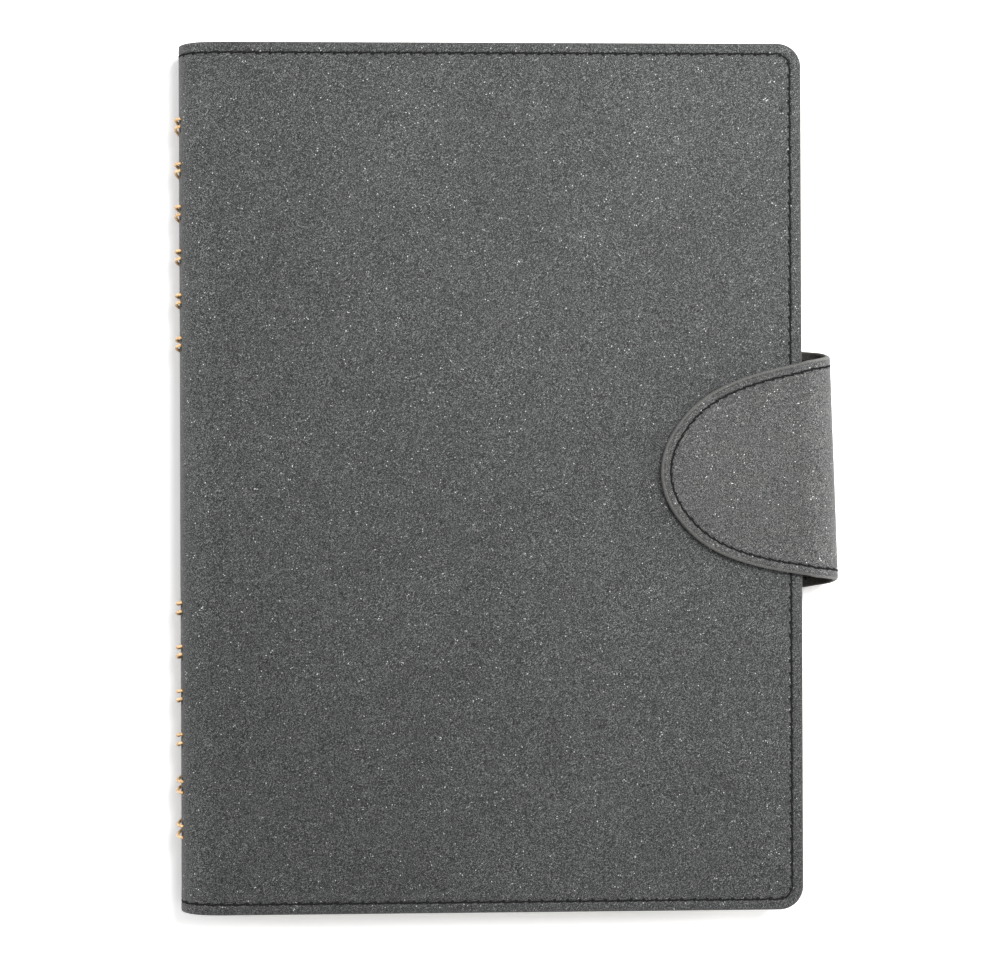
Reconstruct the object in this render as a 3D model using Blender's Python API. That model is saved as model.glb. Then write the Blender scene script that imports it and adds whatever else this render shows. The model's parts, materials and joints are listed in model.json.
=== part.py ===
"""Wraparound leather notebook cover with sewn paper, a folded spine and a magnetic tab.

Units are metres and +Z is up. The closed book lies on its back cover, with its spine
towards -X, the head of the page towards +Y and the tab folded over the +X edge.
"""

import math

import bpy
import numpy as np
from mathutils import Matrix

MM = 0.001

# Cover: an A5 page, 148 x 210, with a margin of 4 mm at head and tail.
COVER_HEIGHT = 218.0
COVER_WIDTH = 156.4
CORNER_RADIUS = 6.0
SPINE_X = -82.41  # outer face of the spine
FORE_X = SPINE_X + COVER_WIDTH
HALF_HEIGHT = COVER_HEIGHT / 2.0

# Plies: outer leather, stiffener, lining, each with a glue gap.
OUTER = 0.70
BOARD = 1.00
LINING = 0.45
GLUE = 0.05
BOARD_LOW = OUTER + GLUE
LINING_LOW = BOARD_LOW + BOARD + GLUE
COVER_THICK = LINING_LOW + LINING
THIN_LINING_LOW = OUTER + GLUE

# Paper: six sewn sections of folded A5 sheets.
SECTIONS = 6
SECTION_THICK = 1.93
SECTION_PITCH = 1.98
PAGE_WIDTH = 146.0
PAGE_HEIGHT = 210.0
PAGE_GAP = 0.30
PAPER_LOW = COVER_THICK + PAGE_GAP
PAPER_TOP = PAPER_LOW + (SECTIONS - 1) * SECTION_PITCH + SECTION_THICK
BOOK_TOP = PAPER_TOP + PAGE_GAP + COVER_THICK

# Spine: two quarter bends joined by a short upright wall.
BEND_RADIUS = 6.5
BEND_X = SPINE_X + BEND_RADIUS
LOW_BEND_Z = BEND_RADIUS
TOP_BEND_Z = BOOK_TOP - BEND_RADIUS
PAGE_PIVOT_Z = (LOW_BEND_Z + TOP_BEND_Z) / 2.0
RAMP_END_X = BEND_X + 2.5  # the stiffener starts here
SEAM_GAP = 0.05  # between the pieces of one sheet that is split at its folds

# Tab: grows out of the back cover, bends round the fore edge, lies on the front.
TAB_TILT = math.radians(1.9)
TAB_Y = 1.9
TAB_BEND_RADIUS = 7.0
TAB_REACH = 8.8  # how far the bend stands out past the fore edge
TAB_X = FORE_X + TAB_REACH - TAB_BEND_RADIUS
FLAP_GAP = 0.15
FLAP_TOP = BOOK_TOP + FLAP_GAP + COVER_THICK
TAB_TOP_Z = FLAP_TOP - TAB_BEND_RADIUS
TAB_ROOT_HALF = 30.5
FLAP_ROOT_HALF = 27.2
FLAP_RAMP = 2.5
FLAP_OUTLINE = (
    (0.0, 27.2),
    (2.4, 26.55),
    (9.8, 25.1),
    (17.3, 23.0),
    (24.0, 20.1),
    (29.5, 16.2),
    (34.0, 10.9),
    (36.7, 5.5),
    (37.6, 0.0),
)
TAB_LENGTH = math.pi * TAB_BEND_RADIUS + TAB_TOP_Z - TAB_BEND_RADIUS

# Magnet in the flap, keeper in the front cover.
MAGNET_REACH = 22.0  # inwards from the tab's fold axis
MAGNET_RADIUS = 6.0
KEEPER_RADIUS = 7.0
DISC_THICK = 0.90
POCKET_GAP = 0.20

# Threads.
SEAM_INSET = 2.6
TAB_SEAM_INSET = 2.4
SEAM_RADIUS = 0.21
SEAM_DEPTH = 0.23
GROOVE_RADIUS = 0.30
LACE_RADIUS = 0.40
LACE_HOLE = 0.58
LACE_STANDOFF = 0.90
LACE_PITCH = 11.0
LACE_PAIR = 2.5
LACE_FIRST = 33.0
LACE_STATIONS = 6
LACE_ANGLE = math.radians(16.0)

BEND_STEPS = 14


def clear_scene():
    """Empty the file of objects, collections and materials."""
    for obj in list(bpy.data.objects):
        bpy.data.objects.remove(obj, do_unlink=True)
    for group in list(bpy.data.collections):
        bpy.data.collections.remove(group)
    for mat in list(bpy.data.materials):
        bpy.data.materials.remove(mat)


def new_collection(name):
    group = bpy.data.collections.new(name)
    bpy.context.scene.collection.children.link(group)
    return group


def new_material(name, colour, roughness, metallic=0.0):
    mat = bpy.data.materials.new(name)
    mat.use_nodes = True
    shader = mat.node_tree.nodes["Principled BSDF"]
    shader.inputs["Base Color"].default_value = (*colour, 1.0)
    shader.inputs["Roughness"].default_value = roughness
    shader.inputs["Metallic"].default_value = metallic
    mat.diffuse_color = (*colour, 1.0)
    return mat


def link_solid(name, mesh, group, mat, smooth=True):
    """Make a mesh object in the group, with welded points and outward faces."""
    obj = bpy.data.objects.new(name, mesh)
    group.objects.link(obj)
    if mat is not None:
        mesh.materials.clear()
        mesh.materials.append(mat)
    if smooth:
        mesh.shade_smooth()
        mesh.set_sharp_from_angle(angle=math.radians(35.0))
    return obj


def mesh_from_curve(name, curve):
    """Turn a curve into a welded mesh with its normals outward."""
    import bmesh

    holder = bpy.data.objects.new(name + "_curve", curve)
    bpy.context.scene.collection.objects.link(holder)
    graph = bpy.context.evaluated_depsgraph_get()
    mesh = bpy.data.meshes.new_from_object(holder.evaluated_get(graph))
    bpy.data.objects.remove(holder, do_unlink=True)
    bpy.data.curves.remove(curve)
    mesh.name = name
    shape = bmesh.new()
    shape.from_mesh(mesh)
    bmesh.ops.remove_doubles(shape, verts=shape.verts, dist=2e-7)
    bmesh.ops.recalc_face_normals(shape, faces=shape.faces)
    shape.to_mesh(mesh)
    shape.free()
    return mesh


def prism_mesh(name, outlines, half_depth):
    """A closed prism along local Z, from one outline and any holes in it, in mm."""
    curve = bpy.data.curves.new(name, "CURVE")
    curve.dimensions = "2D"
    curve.fill_mode = "BOTH"
    curve.extrude = half_depth * MM
    for outline in outlines:
        spline = curve.splines.new("POLY")
        spline.points.add(len(outline) - 1)
        flat = np.zeros((len(outline), 4))
        flat[:, :2] = np.asarray(outline) * MM
        flat[:, 3] = 1.0
        spline.points.foreach_set("co", flat.ravel())
        spline.use_cyclic_u = True
    return mesh_from_curve(name, curve)


def plate(name, outlines, low, thick, group, mat, frame=None):
    """A flat sheet: the outlines, in X and Y, between two heights."""
    mesh = prism_mesh(name, outlines, thick / 2.0)
    move = Matrix.Translation((0.0, 0.0, (low + thick / 2.0) * MM))
    mesh.transform((frame or Matrix()) @ move)
    return link_solid(name, mesh, group, mat)


def section_bar(name, section, half_depth, group, mat, frame=None):
    """A bar along Y with the given section in X and Z."""
    mesh = prism_mesh(name, [section], half_depth)
    turn = Matrix.Rotation(math.radians(90.0), 4, "X")
    mesh.transform((frame or Matrix()) @ turn)
    return link_solid(name, mesh, group, mat)


def tube_mesh(name, points, radius, sides=8):
    """A round thread through the points, in mm, with capped ends."""
    curve = bpy.data.curves.new(name, "CURVE")
    curve.dimensions = "3D"
    curve.bevel_depth = radius * MM
    curve.bevel_resolution = max(sides // 4 - 1, 0)
    curve.use_fill_caps = True
    curve.twist_mode = "MINIMUM"
    spline = curve.splines.new("POLY")
    spline.points.add(len(points) - 1)
    flat = np.ones((len(points), 4))
    flat[:, :3] = np.asarray(points) * MM
    spline.points.foreach_set("co", flat.ravel())
    return mesh_from_curve(name, curve)


def tube(name, points, radius, group, mat, frame=None, sides=8):
    mesh = tube_mesh(name, points, radius, sides)
    if frame is not None:
        mesh.transform(frame)
    return link_solid(name, mesh, group, mat)


def boolean(target, cutter, operation="DIFFERENCE"):
    modifier = target.modifiers.new(cutter.name, "BOOLEAN")
    modifier.operation = operation
    modifier.solver = "EXACT"
    modifier.object = cutter


def arc(centre, radius, start, end, steps=BEND_STEPS):
    """Points of an arc, by angles in degrees from +first axis."""
    angles = np.radians(np.linspace(start, end, steps + 1))
    return np.column_stack(
        (centre[0] + radius * np.cos(angles), centre[1] + radius * np.sin(angles))
    )


def thick_arc(centre, outer, thick, start, end):
    """A section of sheet bent round a centre."""
    return np.vstack(
        (
            arc(centre, outer, start, end),
            arc(centre, outer - thick, end, start),
        )
    )


def smooth_path(points, rounds=2):
    """Corner cutting that keeps both ends."""
    path = np.asarray(points, float)
    for _ in range(rounds):
        near = 0.75 * path[:-1] + 0.25 * path[1:]
        far = 0.25 * path[:-1] + 0.75 * path[1:]
        cut = np.empty((2 * len(near), path.shape[1]))
        cut[0::2] = near
        cut[1::2] = far
        path = np.vstack((path[:1], cut[1:-1], path[-1:]))
    return path


def catmull(points, steps):
    """A smooth curve through the points."""
    p = np.asarray(points, float)
    p = np.vstack((2 * p[0] - p[1], p, 2 * p[-1] - p[-2]))
    t = np.linspace(0.0, 1.0, steps, endpoint=False)[:, None]
    rows = []
    for i in range(1, len(p) - 2):
        a, b, c, d = p[i - 1 : i + 3]
        rows.append(
            0.5
            * (
                2 * b
                + (c - a) * t
                + (2 * a - 5 * b + 4 * c - d) * t**2
                + (3 * b - a - 3 * c + d) * t**3
            )
        )
    return np.vstack((*rows, p[-2:-1]))


def panel_outline(left, inset=0.0, radius=None):
    """The cover's panel from a left edge round the fore edge, both corners rounded."""
    radius = CORNER_RADIUS - inset if radius is None else radius
    right = FORE_X - inset
    high = HALF_HEIGHT - inset
    low_corner = arc((right - radius, -high + radius), radius, -90.0, 0.0, 8)
    high_corner = arc((right - radius, high - radius), radius, 0.0, 90.0, 8)
    return np.vstack(([(left, -high)], low_corner, high_corner, [(left, high)]))


def tab_frame():
    """From the tab's own axes to the book's: its origin is on the fold axes."""
    return Matrix.Translation((TAB_X * MM, TAB_Y * MM, 0.0)) @ Matrix.Rotation(TAB_TILT, 4, "Z")


def in_book(points):
    """The tab's plan points in the book's plan."""
    c, s = math.cos(TAB_TILT), math.sin(TAB_TILT)
    p = np.asarray(points, float)
    return np.column_stack((TAB_X + c * p[:, 0] - s * p[:, 1], TAB_Y + s * p[:, 0] + c * p[:, 1]))


def flap_outline(start, inset=0.0):
    """The flap's D shape in the tab's plan, from a start inwards (x is negative)."""
    half = catmull([(-u, w) for u, w in FLAP_OUTLINE], 4)
    whole = np.vstack((half, half[-2::-1] * (1.0, -1.0)))
    if inset:
        ahead = np.roll(whole, -1, axis=0) - np.roll(whole, 1, axis=0)
        ahead[0] = whole[1] - whole[0]
        ahead[-1] = whole[-1] - whole[-2]
        ahead /= np.linalg.norm(ahead, axis=1)[:, None]
        whole = whole - inset * np.column_stack((-ahead[:, 1], ahead[:, 0])) * -1.0
    first = np.interp(start, -whole[: len(whole) // 2, 0], whole[: len(whole) // 2, 1])
    kept = whole[-whole[:, 0] > start + 0.2]
    last = np.interp(start, -whole[::-1][: len(whole) // 2, 0], whole[::-1][: len(whole) // 2, 1])
    return np.vstack(([(-start, first)], kept, [(-start, last)]))


def taper(obj, frame, inset=0.0):
    """Narrow a bent strip of the tab along its developed length."""
    back = np.array(frame.inverted())
    ahead = np.array(frame)
    mesh = obj.data
    co = np.empty(len(mesh.vertices) * 3)
    mesh.vertices.foreach_get("co", co)
    co = co.reshape(-1, 3) @ back[:3, :3].T + back[:3, 3]
    x, z = co[:, 0] / MM, co[:, 2] / MM
    wall = TAB_TOP_Z - TAB_BEND_RADIUS
    low = TAB_BEND_RADIUS * np.arctan2(np.maximum(x, 0.0), TAB_BEND_RADIUS - z)
    high = TAB_BEND_RADIUS * (math.pi / 2 + np.arctan2(z - TAB_TOP_Z, np.maximum(x, 1e-6))) + wall
    middle = TAB_BEND_RADIUS * math.pi / 2 + z - TAB_BEND_RADIUS
    length = np.where(z < TAB_BEND_RADIUS, low, np.where(z > TAB_TOP_Z, high, middle))
    half = TAB_ROOT_HALF + (FLAP_ROOT_HALF - TAB_ROOT_HALF) * length / TAB_LENGTH - inset
    co[:, 1] = np.sign(co[:, 1]) * half * MM
    co = co @ ahead[:3, :3].T + ahead[:3, 3]
    mesh.vertices.foreach_set("co", co.ravel())
    mesh.update()


def axis_empty(name, location, group, tilt=0.0, parent=None):
    """An empty on a fold's axis; the axis is the empty's own Y."""
    empty = bpy.data.objects.new(name, None)
    empty.empty_display_type = "SINGLE_ARROW"
    empty.empty_display_size = 0.02
    group.objects.link(empty)
    place = Matrix.Translation([v * MM for v in location]) @ Matrix.Rotation(tilt, 4, "Z")
    empty.matrix_basis = place
    if parent is not None:
        empty.parent = parent
        empty.matrix_parent_inverse = parent.matrix_world.inverted()
    bpy.context.view_layer.update()
    return empty


def hang(objects, empty):
    """Parent the objects to an axis empty where they stand."""
    inverse = empty.matrix_world.inverted()
    for obj in objects:
        obj.parent = empty
        obj.matrix_parent_inverse = inverse


def hide(cutter):
    cutter.hide_render = True
    cutter.display_type = "WIRE"
    return cutter


def spine_seam_path(depth, high):
    """Round the spine at one end, from the back panel to the front one."""
    radius = BEND_RADIUS - depth
    y = high * (HALF_HEIGHT - SEAM_INSET)
    low = arc((BEND_X, LOW_BEND_Z), radius, 270.0, 180.0, 10)
    top = arc((BEND_X, TOP_BEND_Z), radius, 180.0, 90.0, 10)
    path = np.vstack((low, top))
    return np.column_stack((path[:, 0], np.full(len(path), y), path[:, 1]))


def panel_seam_path(z):
    """Along the tail, the fore edge and the head of one panel."""
    path = panel_outline(BEND_X + 0.1, SEAM_INSET, 2.8)
    return np.column_stack((path, np.full(len(path), z)))


def back_seam_path(z, high):
    """From the spine along one end and the fore edge, out onto the tab's root."""
    sign = 1.0 if high else -1.0
    half = TAB_ROOT_HALF - TAB_SEAM_INSET
    edge_x = FORE_X - SEAM_INSET
    out = in_book([(0.0, sign * half)])[0]
    corner = arc((edge_x - 2.8, HALF_HEIGHT - SEAM_INSET - 2.8), 2.8, 90.0, 0.0, 6)
    start = np.array([(BEND_X + 0.1, HALF_HEIGHT - SEAM_INSET)])
    upper = np.vstack((start, corner)) * (1.0, sign)
    turn = smooth_path([upper[-1], (edge_x, out[1] - 0.15 * sign), out], 0)
    path = np.vstack((upper, turn[1:]))
    return np.column_stack((path, np.full(len(path), z)))


def tab_seam_path(depth, sign):
    """Over the tab's bends along one edge, in the tab's axes."""
    radius = TAB_BEND_RADIUS - depth
    low = arc((0.0, TAB_BEND_RADIUS), radius, 270.0, 360.0, 10)
    top = arc((0.0, TAB_TOP_Z), radius, 0.0, 90.0, 10)
    path = np.vstack((low, top))
    share = np.linspace(0.0, 1.0, len(path))
    half = TAB_ROOT_HALF + (FLAP_ROOT_HALF - TAB_ROOT_HALF) * share - TAB_SEAM_INSET
    return np.column_stack((path[:, 0], sign * half, path[:, 1]))


def lace_path(sign):
    """One thread through a block of six pairs of holes, out and back over the spine."""
    hole_low = LOW_BEND_Z - BEND_RADIUS * math.sin(LACE_ANGLE)
    hole_top = TOP_BEND_Z + BEND_RADIUS * math.sin(LACE_ANGLE)
    hole_x = BEND_X - BEND_RADIUS * math.cos(LACE_ANGLE)
    away = np.array((-math.cos(LACE_ANGLE), math.sin(LACE_ANGLE)))
    inner = BEND_RADIUS - OUTER - LINING - 1.05
    out_x = SPINE_X - LACE_STANDOFF

    def crossing(y, top_first):
        top_in = np.array((BEND_X, TOP_BEND_Z)) + inner * away
        low_in = np.array((BEND_X, LOW_BEND_Z)) + inner * away * (1.0, -1.0)
        top_out = np.array((hole_x, hole_top)) + 0.75 * away
        low_out = np.array((hole_x, hole_low)) + 0.75 * away * (1.0, -1.0)
        rows = [
            top_in,
            top_out,
            (out_x, TOP_BEND_Z + 0.6),
            (out_x - 0.1, PAGE_PIVOT_Z),
            (out_x, LOW_BEND_Z - 0.6),
            low_out,
            low_in,
        ]
        if not top_first:
            rows.reverse()
        return [(x, y, z) for x, z in rows]

    path = []
    for index in range(LACE_STATIONS):
        y = sign * (LACE_FIRST + index * LACE_PITCH)
        path += crossing(y - sign * LACE_PAIR / 2.0, True)
        path += crossing(y + sign * LACE_PAIR / 2.0, False)
    return smooth_path(path, 1)


def lace_holes(name, group, low):
    """Round cutters for the lacing's holes in one bend, joined into one mesh."""
    import bmesh

    shape = bmesh.new()
    centre_z = LOW_BEND_Z if low else TOP_BEND_Z
    side = -1.0 if low else 1.0
    lean = Matrix.Rotation(math.pi / 2.0 + side * LACE_ANGLE, 4, "Y")
    for sign in (-1.0, 1.0):
        for index in range(LACE_STATIONS):
            for pair in (-0.5, 0.5):
                y = sign * (LACE_FIRST + index * LACE_PITCH) + pair * LACE_PAIR
                x = BEND_X - (BEND_RADIUS - 0.6) * math.cos(LACE_ANGLE)
                z = centre_z + side * (BEND_RADIUS - 0.6) * math.sin(LACE_ANGLE)
                bmesh.ops.create_cone(
                    shape,
                    cap_ends=True,
                    segments=8,
                    radius1=LACE_HOLE * MM,
                    radius2=LACE_HOLE * MM,
                    depth=4.0 * MM,
                    matrix=Matrix.Translation((x * MM, y * MM, z * MM)) @ lean,
                )
    bmesh.ops.recalc_face_normals(shape, faces=shape.faces)
    mesh = bpy.data.meshes.new(name)
    shape.to_mesh(mesh)
    shape.free()
    return hide(link_solid(name, mesh, group, None, smooth=False))


def build_back(book, cutters, mats):
    """Back cover: leather with the tab's root, stiffener, lining and its seams."""
    root = in_book([(0.0, -TAB_ROOT_HALF), (0.0, TAB_ROOT_HALF)])
    leave = np.array([(FORE_X, root[0, 1] - 0.6), (FORE_X, root[1, 1] + 0.6)])
    outline = panel_outline(BEND_X + SEAM_GAP)
    low, high = outline[:10], outline[10:]
    leather = np.vstack((low, leave[:1], root, leave[1:], high))
    outer = plate("leather_back", [leather], 0.0, OUTER, book, mats["leather"])
    for sign, name in ((True, "seam_back_head"), (False, "seam_back_tail")):
        path = back_seam_path(SEAM_DEPTH, sign)
        longer = path.copy()
        longer[0, 0] -= 1.0
        longer[-1, 0] += 1.0
        groove = hide(tube(name + "_groove", longer, GROOVE_RADIUS, cutters, None))
        boolean(outer, groove)
        tube(name, path, SEAM_RADIUS, book, mats["seam"])
    plate(
        "stiffener_back",
        [panel_outline(RAMP_END_X + 0.1)],
        BOARD_LOW,
        BOARD,
        book,
        mats["board"],
    )
    lining = plate(
        "lining_back",
        [panel_outline(RAMP_END_X + 0.1)],
        LINING_LOW,
        LINING,
        book,
        mats["lining"],
    )
    step = [
        (FORE_X - 0.8, LINING_LOW + 0.02),
        (FORE_X + 0.06, LINING_LOW + 0.02),
        (FORE_X + 0.06, THIN_LINING_LOW + 0.02),
        (FORE_X + 0.5, THIN_LINING_LOW + 0.02),
        (FORE_X + 0.5, LINING_LOW + LINING - 0.02),
        (FORE_X - 0.8, LINING_LOW + LINING - 0.02),
    ]
    riser = section_bar("lining_step", step, TAB_ROOT_HALF, cutters, None)
    riser.data.transform(Matrix.Translation((0.0, TAB_Y * MM, 0.0)))
    boolean(lining, hide(riser), "UNION")
    inner = [(FORE_X + 0.15, root[0, 1] - 0.4), root[0], root[1], (FORE_X + 0.15, root[1, 1] + 0.4)]
    shelf = plate("lining_shelf", [inner], THIN_LINING_LOW, LINING, cutters, None)
    boolean(lining, hide(shelf), "UNION")
    return []


def build_front(book, cutters, mats):
    """Front cover: leather, stiffener with the keeper's pocket, lining and seam."""
    low = BOOK_TOP - OUTER
    outer = plate(
        "leather_front",
        [panel_outline(BEND_X + SEAM_GAP)],
        low,
        OUTER,
        book,
        mats["leather"],
    )
    path = panel_seam_path(BOOK_TOP - SEAM_DEPTH)
    longer = path.copy()
    longer[[0, -1], 0] -= 1.0
    groove = hide(tube("seam_front_groove", longer, GROOVE_RADIUS, cutters, None))
    boolean(outer, groove)
    seam = tube("seam_front", path, SEAM_RADIUS, book, mats["seam"])
    centre = in_book([(-MAGNET_REACH, 0.0)])[0]
    pocket = arc(centre, KEEPER_RADIUS + POCKET_GAP, 0.0, 345.0, 23)
    board = plate(
        "stiffener_front",
        [panel_outline(RAMP_END_X + 0.1), pocket],
        BOOK_TOP - BOARD_LOW - BOARD,
        BOARD,
        book,
        mats["board"],
    )
    keeper = plate(
        "keeper_disc",
        [arc(centre, KEEPER_RADIUS, 0.0, 345.0, 23)],
        BOOK_TOP - BOARD_LOW - BOARD + 0.05,
        DISC_THICK,
        book,
        mats["steel"],
    )
    lining = plate(
        "lining_front",
        [panel_outline(RAMP_END_X + 0.1)],
        BOOK_TOP - COVER_THICK,
        LINING,
        book,
        mats["lining"],
    )
    return [outer, seam, board, keeper, lining]


def bend_section(top, outer, thick, ramp):
    """One spine bend in section; the lining also ramps up onto the stiffener."""
    step = math.degrees(SEAM_GAP / BEND_RADIUS)
    centre = (BEND_X, LOW_BEND_Z)
    if not ramp:
        section = thick_arc(centre, outer, thick, 180.0 + step, 270.0 - step)
    else:
        low = BEND_RADIUS - outer
        rise = LINING_LOW - low
        outside = arc(centre, outer, 180.0 + step, 270.0)
        inside = arc(centre, outer - thick, 270.0, 180.0 + step)
        section = np.vstack(
            (
                outside,
                [(RAMP_END_X - 0.2, low + rise)],
                [(RAMP_END_X + 0.05, low + rise)],
                [(RAMP_END_X + 0.05, low + rise + thick)],
                [(RAMP_END_X - 0.3, low + rise + thick)],
                inside,
            )
        )
    if top:
        section = section * (1.0, -1.0) + (0.0, BOOK_TOP)
    return section


def build_spine(book, cutters, mats):
    """The spine's wall and its two bends, in leather and lining, with seam ends."""
    thin = BEND_RADIUS - OUTER - GLUE
    lean = {True: "front", False: "back"}
    made = {"wall": [], "back": [], "front": []}
    grooves = []
    for high, name in ((1.0, "seam_spine_head"), (-1.0, "seam_spine_tail")):
        path = spine_seam_path(SEAM_DEPTH, high)
        ends = path[[0, -1]] + (0.6, 0.0, 0.0)
        longer = np.vstack((ends[:1], path, ends[1:]))
        grooves.append(hide(tube(name + "_groove", longer, GROOVE_RADIUS, cutters, None)))
        made["wall"].append(tube(name, path, SEAM_RADIUS, book, mats["seam"]))
    for top in (False, True):
        side = lean[top]
        holes = lace_holes("lace_holes_" + side, cutters, not top)
        section = bend_section(top, BEND_RADIUS, OUTER, False)
        outer = section_bar("leather_bend_" + side, section, HALF_HEIGHT, book, mats["leather"])
        for groove in grooves:
            boolean(outer, groove)
        section = bend_section(top, thin, LINING, True)
        inner = section_bar("lining_bend_" + side, section, HALF_HEIGHT, book, mats["lining"])
        for piece in (outer, inner):
            boolean(piece, holes)
        made[side] += [outer, inner]
    low, high = LOW_BEND_Z + 0.03, TOP_BEND_Z - 0.03
    wall = [(SPINE_X, low), (SPINE_X + OUTER, low), (SPINE_X + OUTER, high), (SPINE_X, high)]
    outer = section_bar("leather_spine", wall, HALF_HEIGHT, book, mats["leather"])
    for groove in grooves:
        boolean(outer, groove)
    left = SPINE_X + OUTER + GLUE
    wall = [(left, low), (left + LINING, low), (left + LINING, high), (left, high)]
    inner = section_bar("lining_spine", wall, HALF_HEIGHT, book, mats["lining"])
    made["wall"] += [outer, inner]
    for sign, name in ((1.0, "lacing_head"), (-1.0, "lacing_tail")):
        made["wall"].append(tube(name, lace_path(sign), LACE_RADIUS, book, mats["lace"]))
    return made


def build_sections(book, mats):
    """Six sewn sections of folded paper, rounded at the fold."""
    made = []
    radius = SECTION_THICK / 2.0 - 0.01
    left = BEND_X + radius
    right = BEND_X + PAGE_WIDTH
    for index in range(SECTIONS):
        low = PAPER_LOW + index * SECTION_PITCH
        high = low + SECTION_THICK
        middle = (low + high) / 2.0
        fold = arc((left, middle), radius, 90.0, 270.0, 8)
        section = np.vstack(([(right, low), (right, high)], fold))
        bar = section_bar(
            f"paper_section_{index + 1}", section, PAGE_HEIGHT / 2.0, book, mats["paper"]
        )
        made.append(bar)
    return made


def build_tab(book, cutters, mats):
    """The tab's two bends and upright, and the flap with its magnet."""
    frame = tab_frame()
    step = math.degrees(SEAM_GAP / TAB_BEND_RADIUS)
    bend = TAB_BEND_RADIUS
    thin = bend - OUTER - GLUE
    wall_low, wall_high = bend + 0.03, TAB_TOP_Z - 0.03
    made = {"wall": [], "flap": []}
    grooves = []
    for sign, name in ((1.0, "seam_tab_head"), (-1.0, "seam_tab_tail")):
        path = tab_seam_path(SEAM_DEPTH, sign)
        ends = path[[0, -1]] - (1.0, 0.0, 0.0)
        longer = np.vstack((ends[:1], path, ends[1:]))
        grooves.append(
            hide(tube(name + "_groove", longer, GROOVE_RADIUS, cutters, None, frame))
        )
        made["wall"].append(tube(name, path, SEAM_RADIUS, book, mats["seam"], frame))
    half = TAB_ROOT_HALF

    def strip(name, section, mat):
        obj = section_bar(name, section, half, book, mats[mat], frame)
        taper(obj, frame)
        return obj

    low_c, top_c = (0.0, bend), (0.0, TAB_TOP_Z)
    outer_low = strip(
        "leather_tab_low", thick_arc(low_c, bend, OUTER, 270.0 + step, 360.0 - step), "leather"
    )
    inner_low = strip(
        "lining_tab_low", thick_arc(low_c, thin, LINING, 270.0 + step, 360.0 - step), "lining"
    )
    outer_top = strip(
        "leather_tab_top", thick_arc(top_c, bend, OUTER, step, 90.0 - step), "leather"
    )
    drop = COVER_THICK - LINING - OUTER - GLUE
    level = TAB_TOP_Z + thin
    section = np.vstack(
        (
            arc(top_c, thin, step, 90.0),
            [(-FLAP_RAMP, level - drop), (-FLAP_RAMP, level - drop - LINING)],
            arc(top_c, thin - LINING, 90.0, step),
        )
    )
    inner_top = section_bar("lining_tab_top", section, half, book, mats["lining"], frame)
    taper(inner_top, frame, 0.6)
    wall = [(bend - OUTER, wall_low), (bend, wall_low), (bend, wall_high), (bend - OUTER, wall_high)]
    outer_wall = strip("leather_tab_wall", wall, "leather")
    wall = [
        (thin - LINING, wall_low),
        (thin, wall_low),
        (thin, wall_high),
        (thin - LINING, wall_high),
    ]
    inner_wall = strip("lining_tab_wall", wall, "lining")
    for piece in (outer_low, outer_top, outer_wall):
        for groove in grooves:
            boolean(piece, groove)
    made["wall"] += [outer_low, inner_low, outer_top, inner_top, outer_wall, inner_wall]

    flap = plate(
        "leather_flap", [flap_outline(0.0)], FLAP_TOP - OUTER, OUTER, book, mats["leather"], frame
    )
    plan = flap_outline(0.0, TAB_SEAM_INSET)
    path = np.column_stack((plan, np.full(len(plan), FLAP_TOP - SEAM_DEPTH)))
    longer = path.copy()
    longer[[0, -1], 0] += 1.0
    groove = hide(tube("seam_flap_groove", longer, GROOVE_RADIUS, cutters, None, frame))
    boolean(flap, groove)
    seam = tube("seam_flap", path, SEAM_RADIUS, book, mats["seam"], frame)
    inward = FLAP_RAMP + 0.1
    pocket = arc((-MAGNET_REACH, 0.0), MAGNET_RADIUS + POCKET_GAP, 0.0, 345.0, 23)
    board_low = FLAP_TOP - BOARD_LOW - BOARD
    board = plate(
        "stiffener_flap",
        [flap_outline(inward), pocket],
        board_low,
        BOARD,
        book,
        mats["board"],
        frame,
    )
    magnet = plate(
        "flap_magnet",
        [arc((-MAGNET_REACH, 0.0), MAGNET_RADIUS, 0.0, 345.0, 23)],
        board_low + 0.05,
        DISC_THICK,
        book,
        mats["steel"],
        frame,
    )
    lining = plate(
        "lining_flap",
        [flap_outline(inward)],
        FLAP_TOP - COVER_THICK,
        LINING,
        book,
        mats["lining"],
        frame,
    )
    made["flap"] = [flap, seam, board, magnet, lining]
    return made


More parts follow.
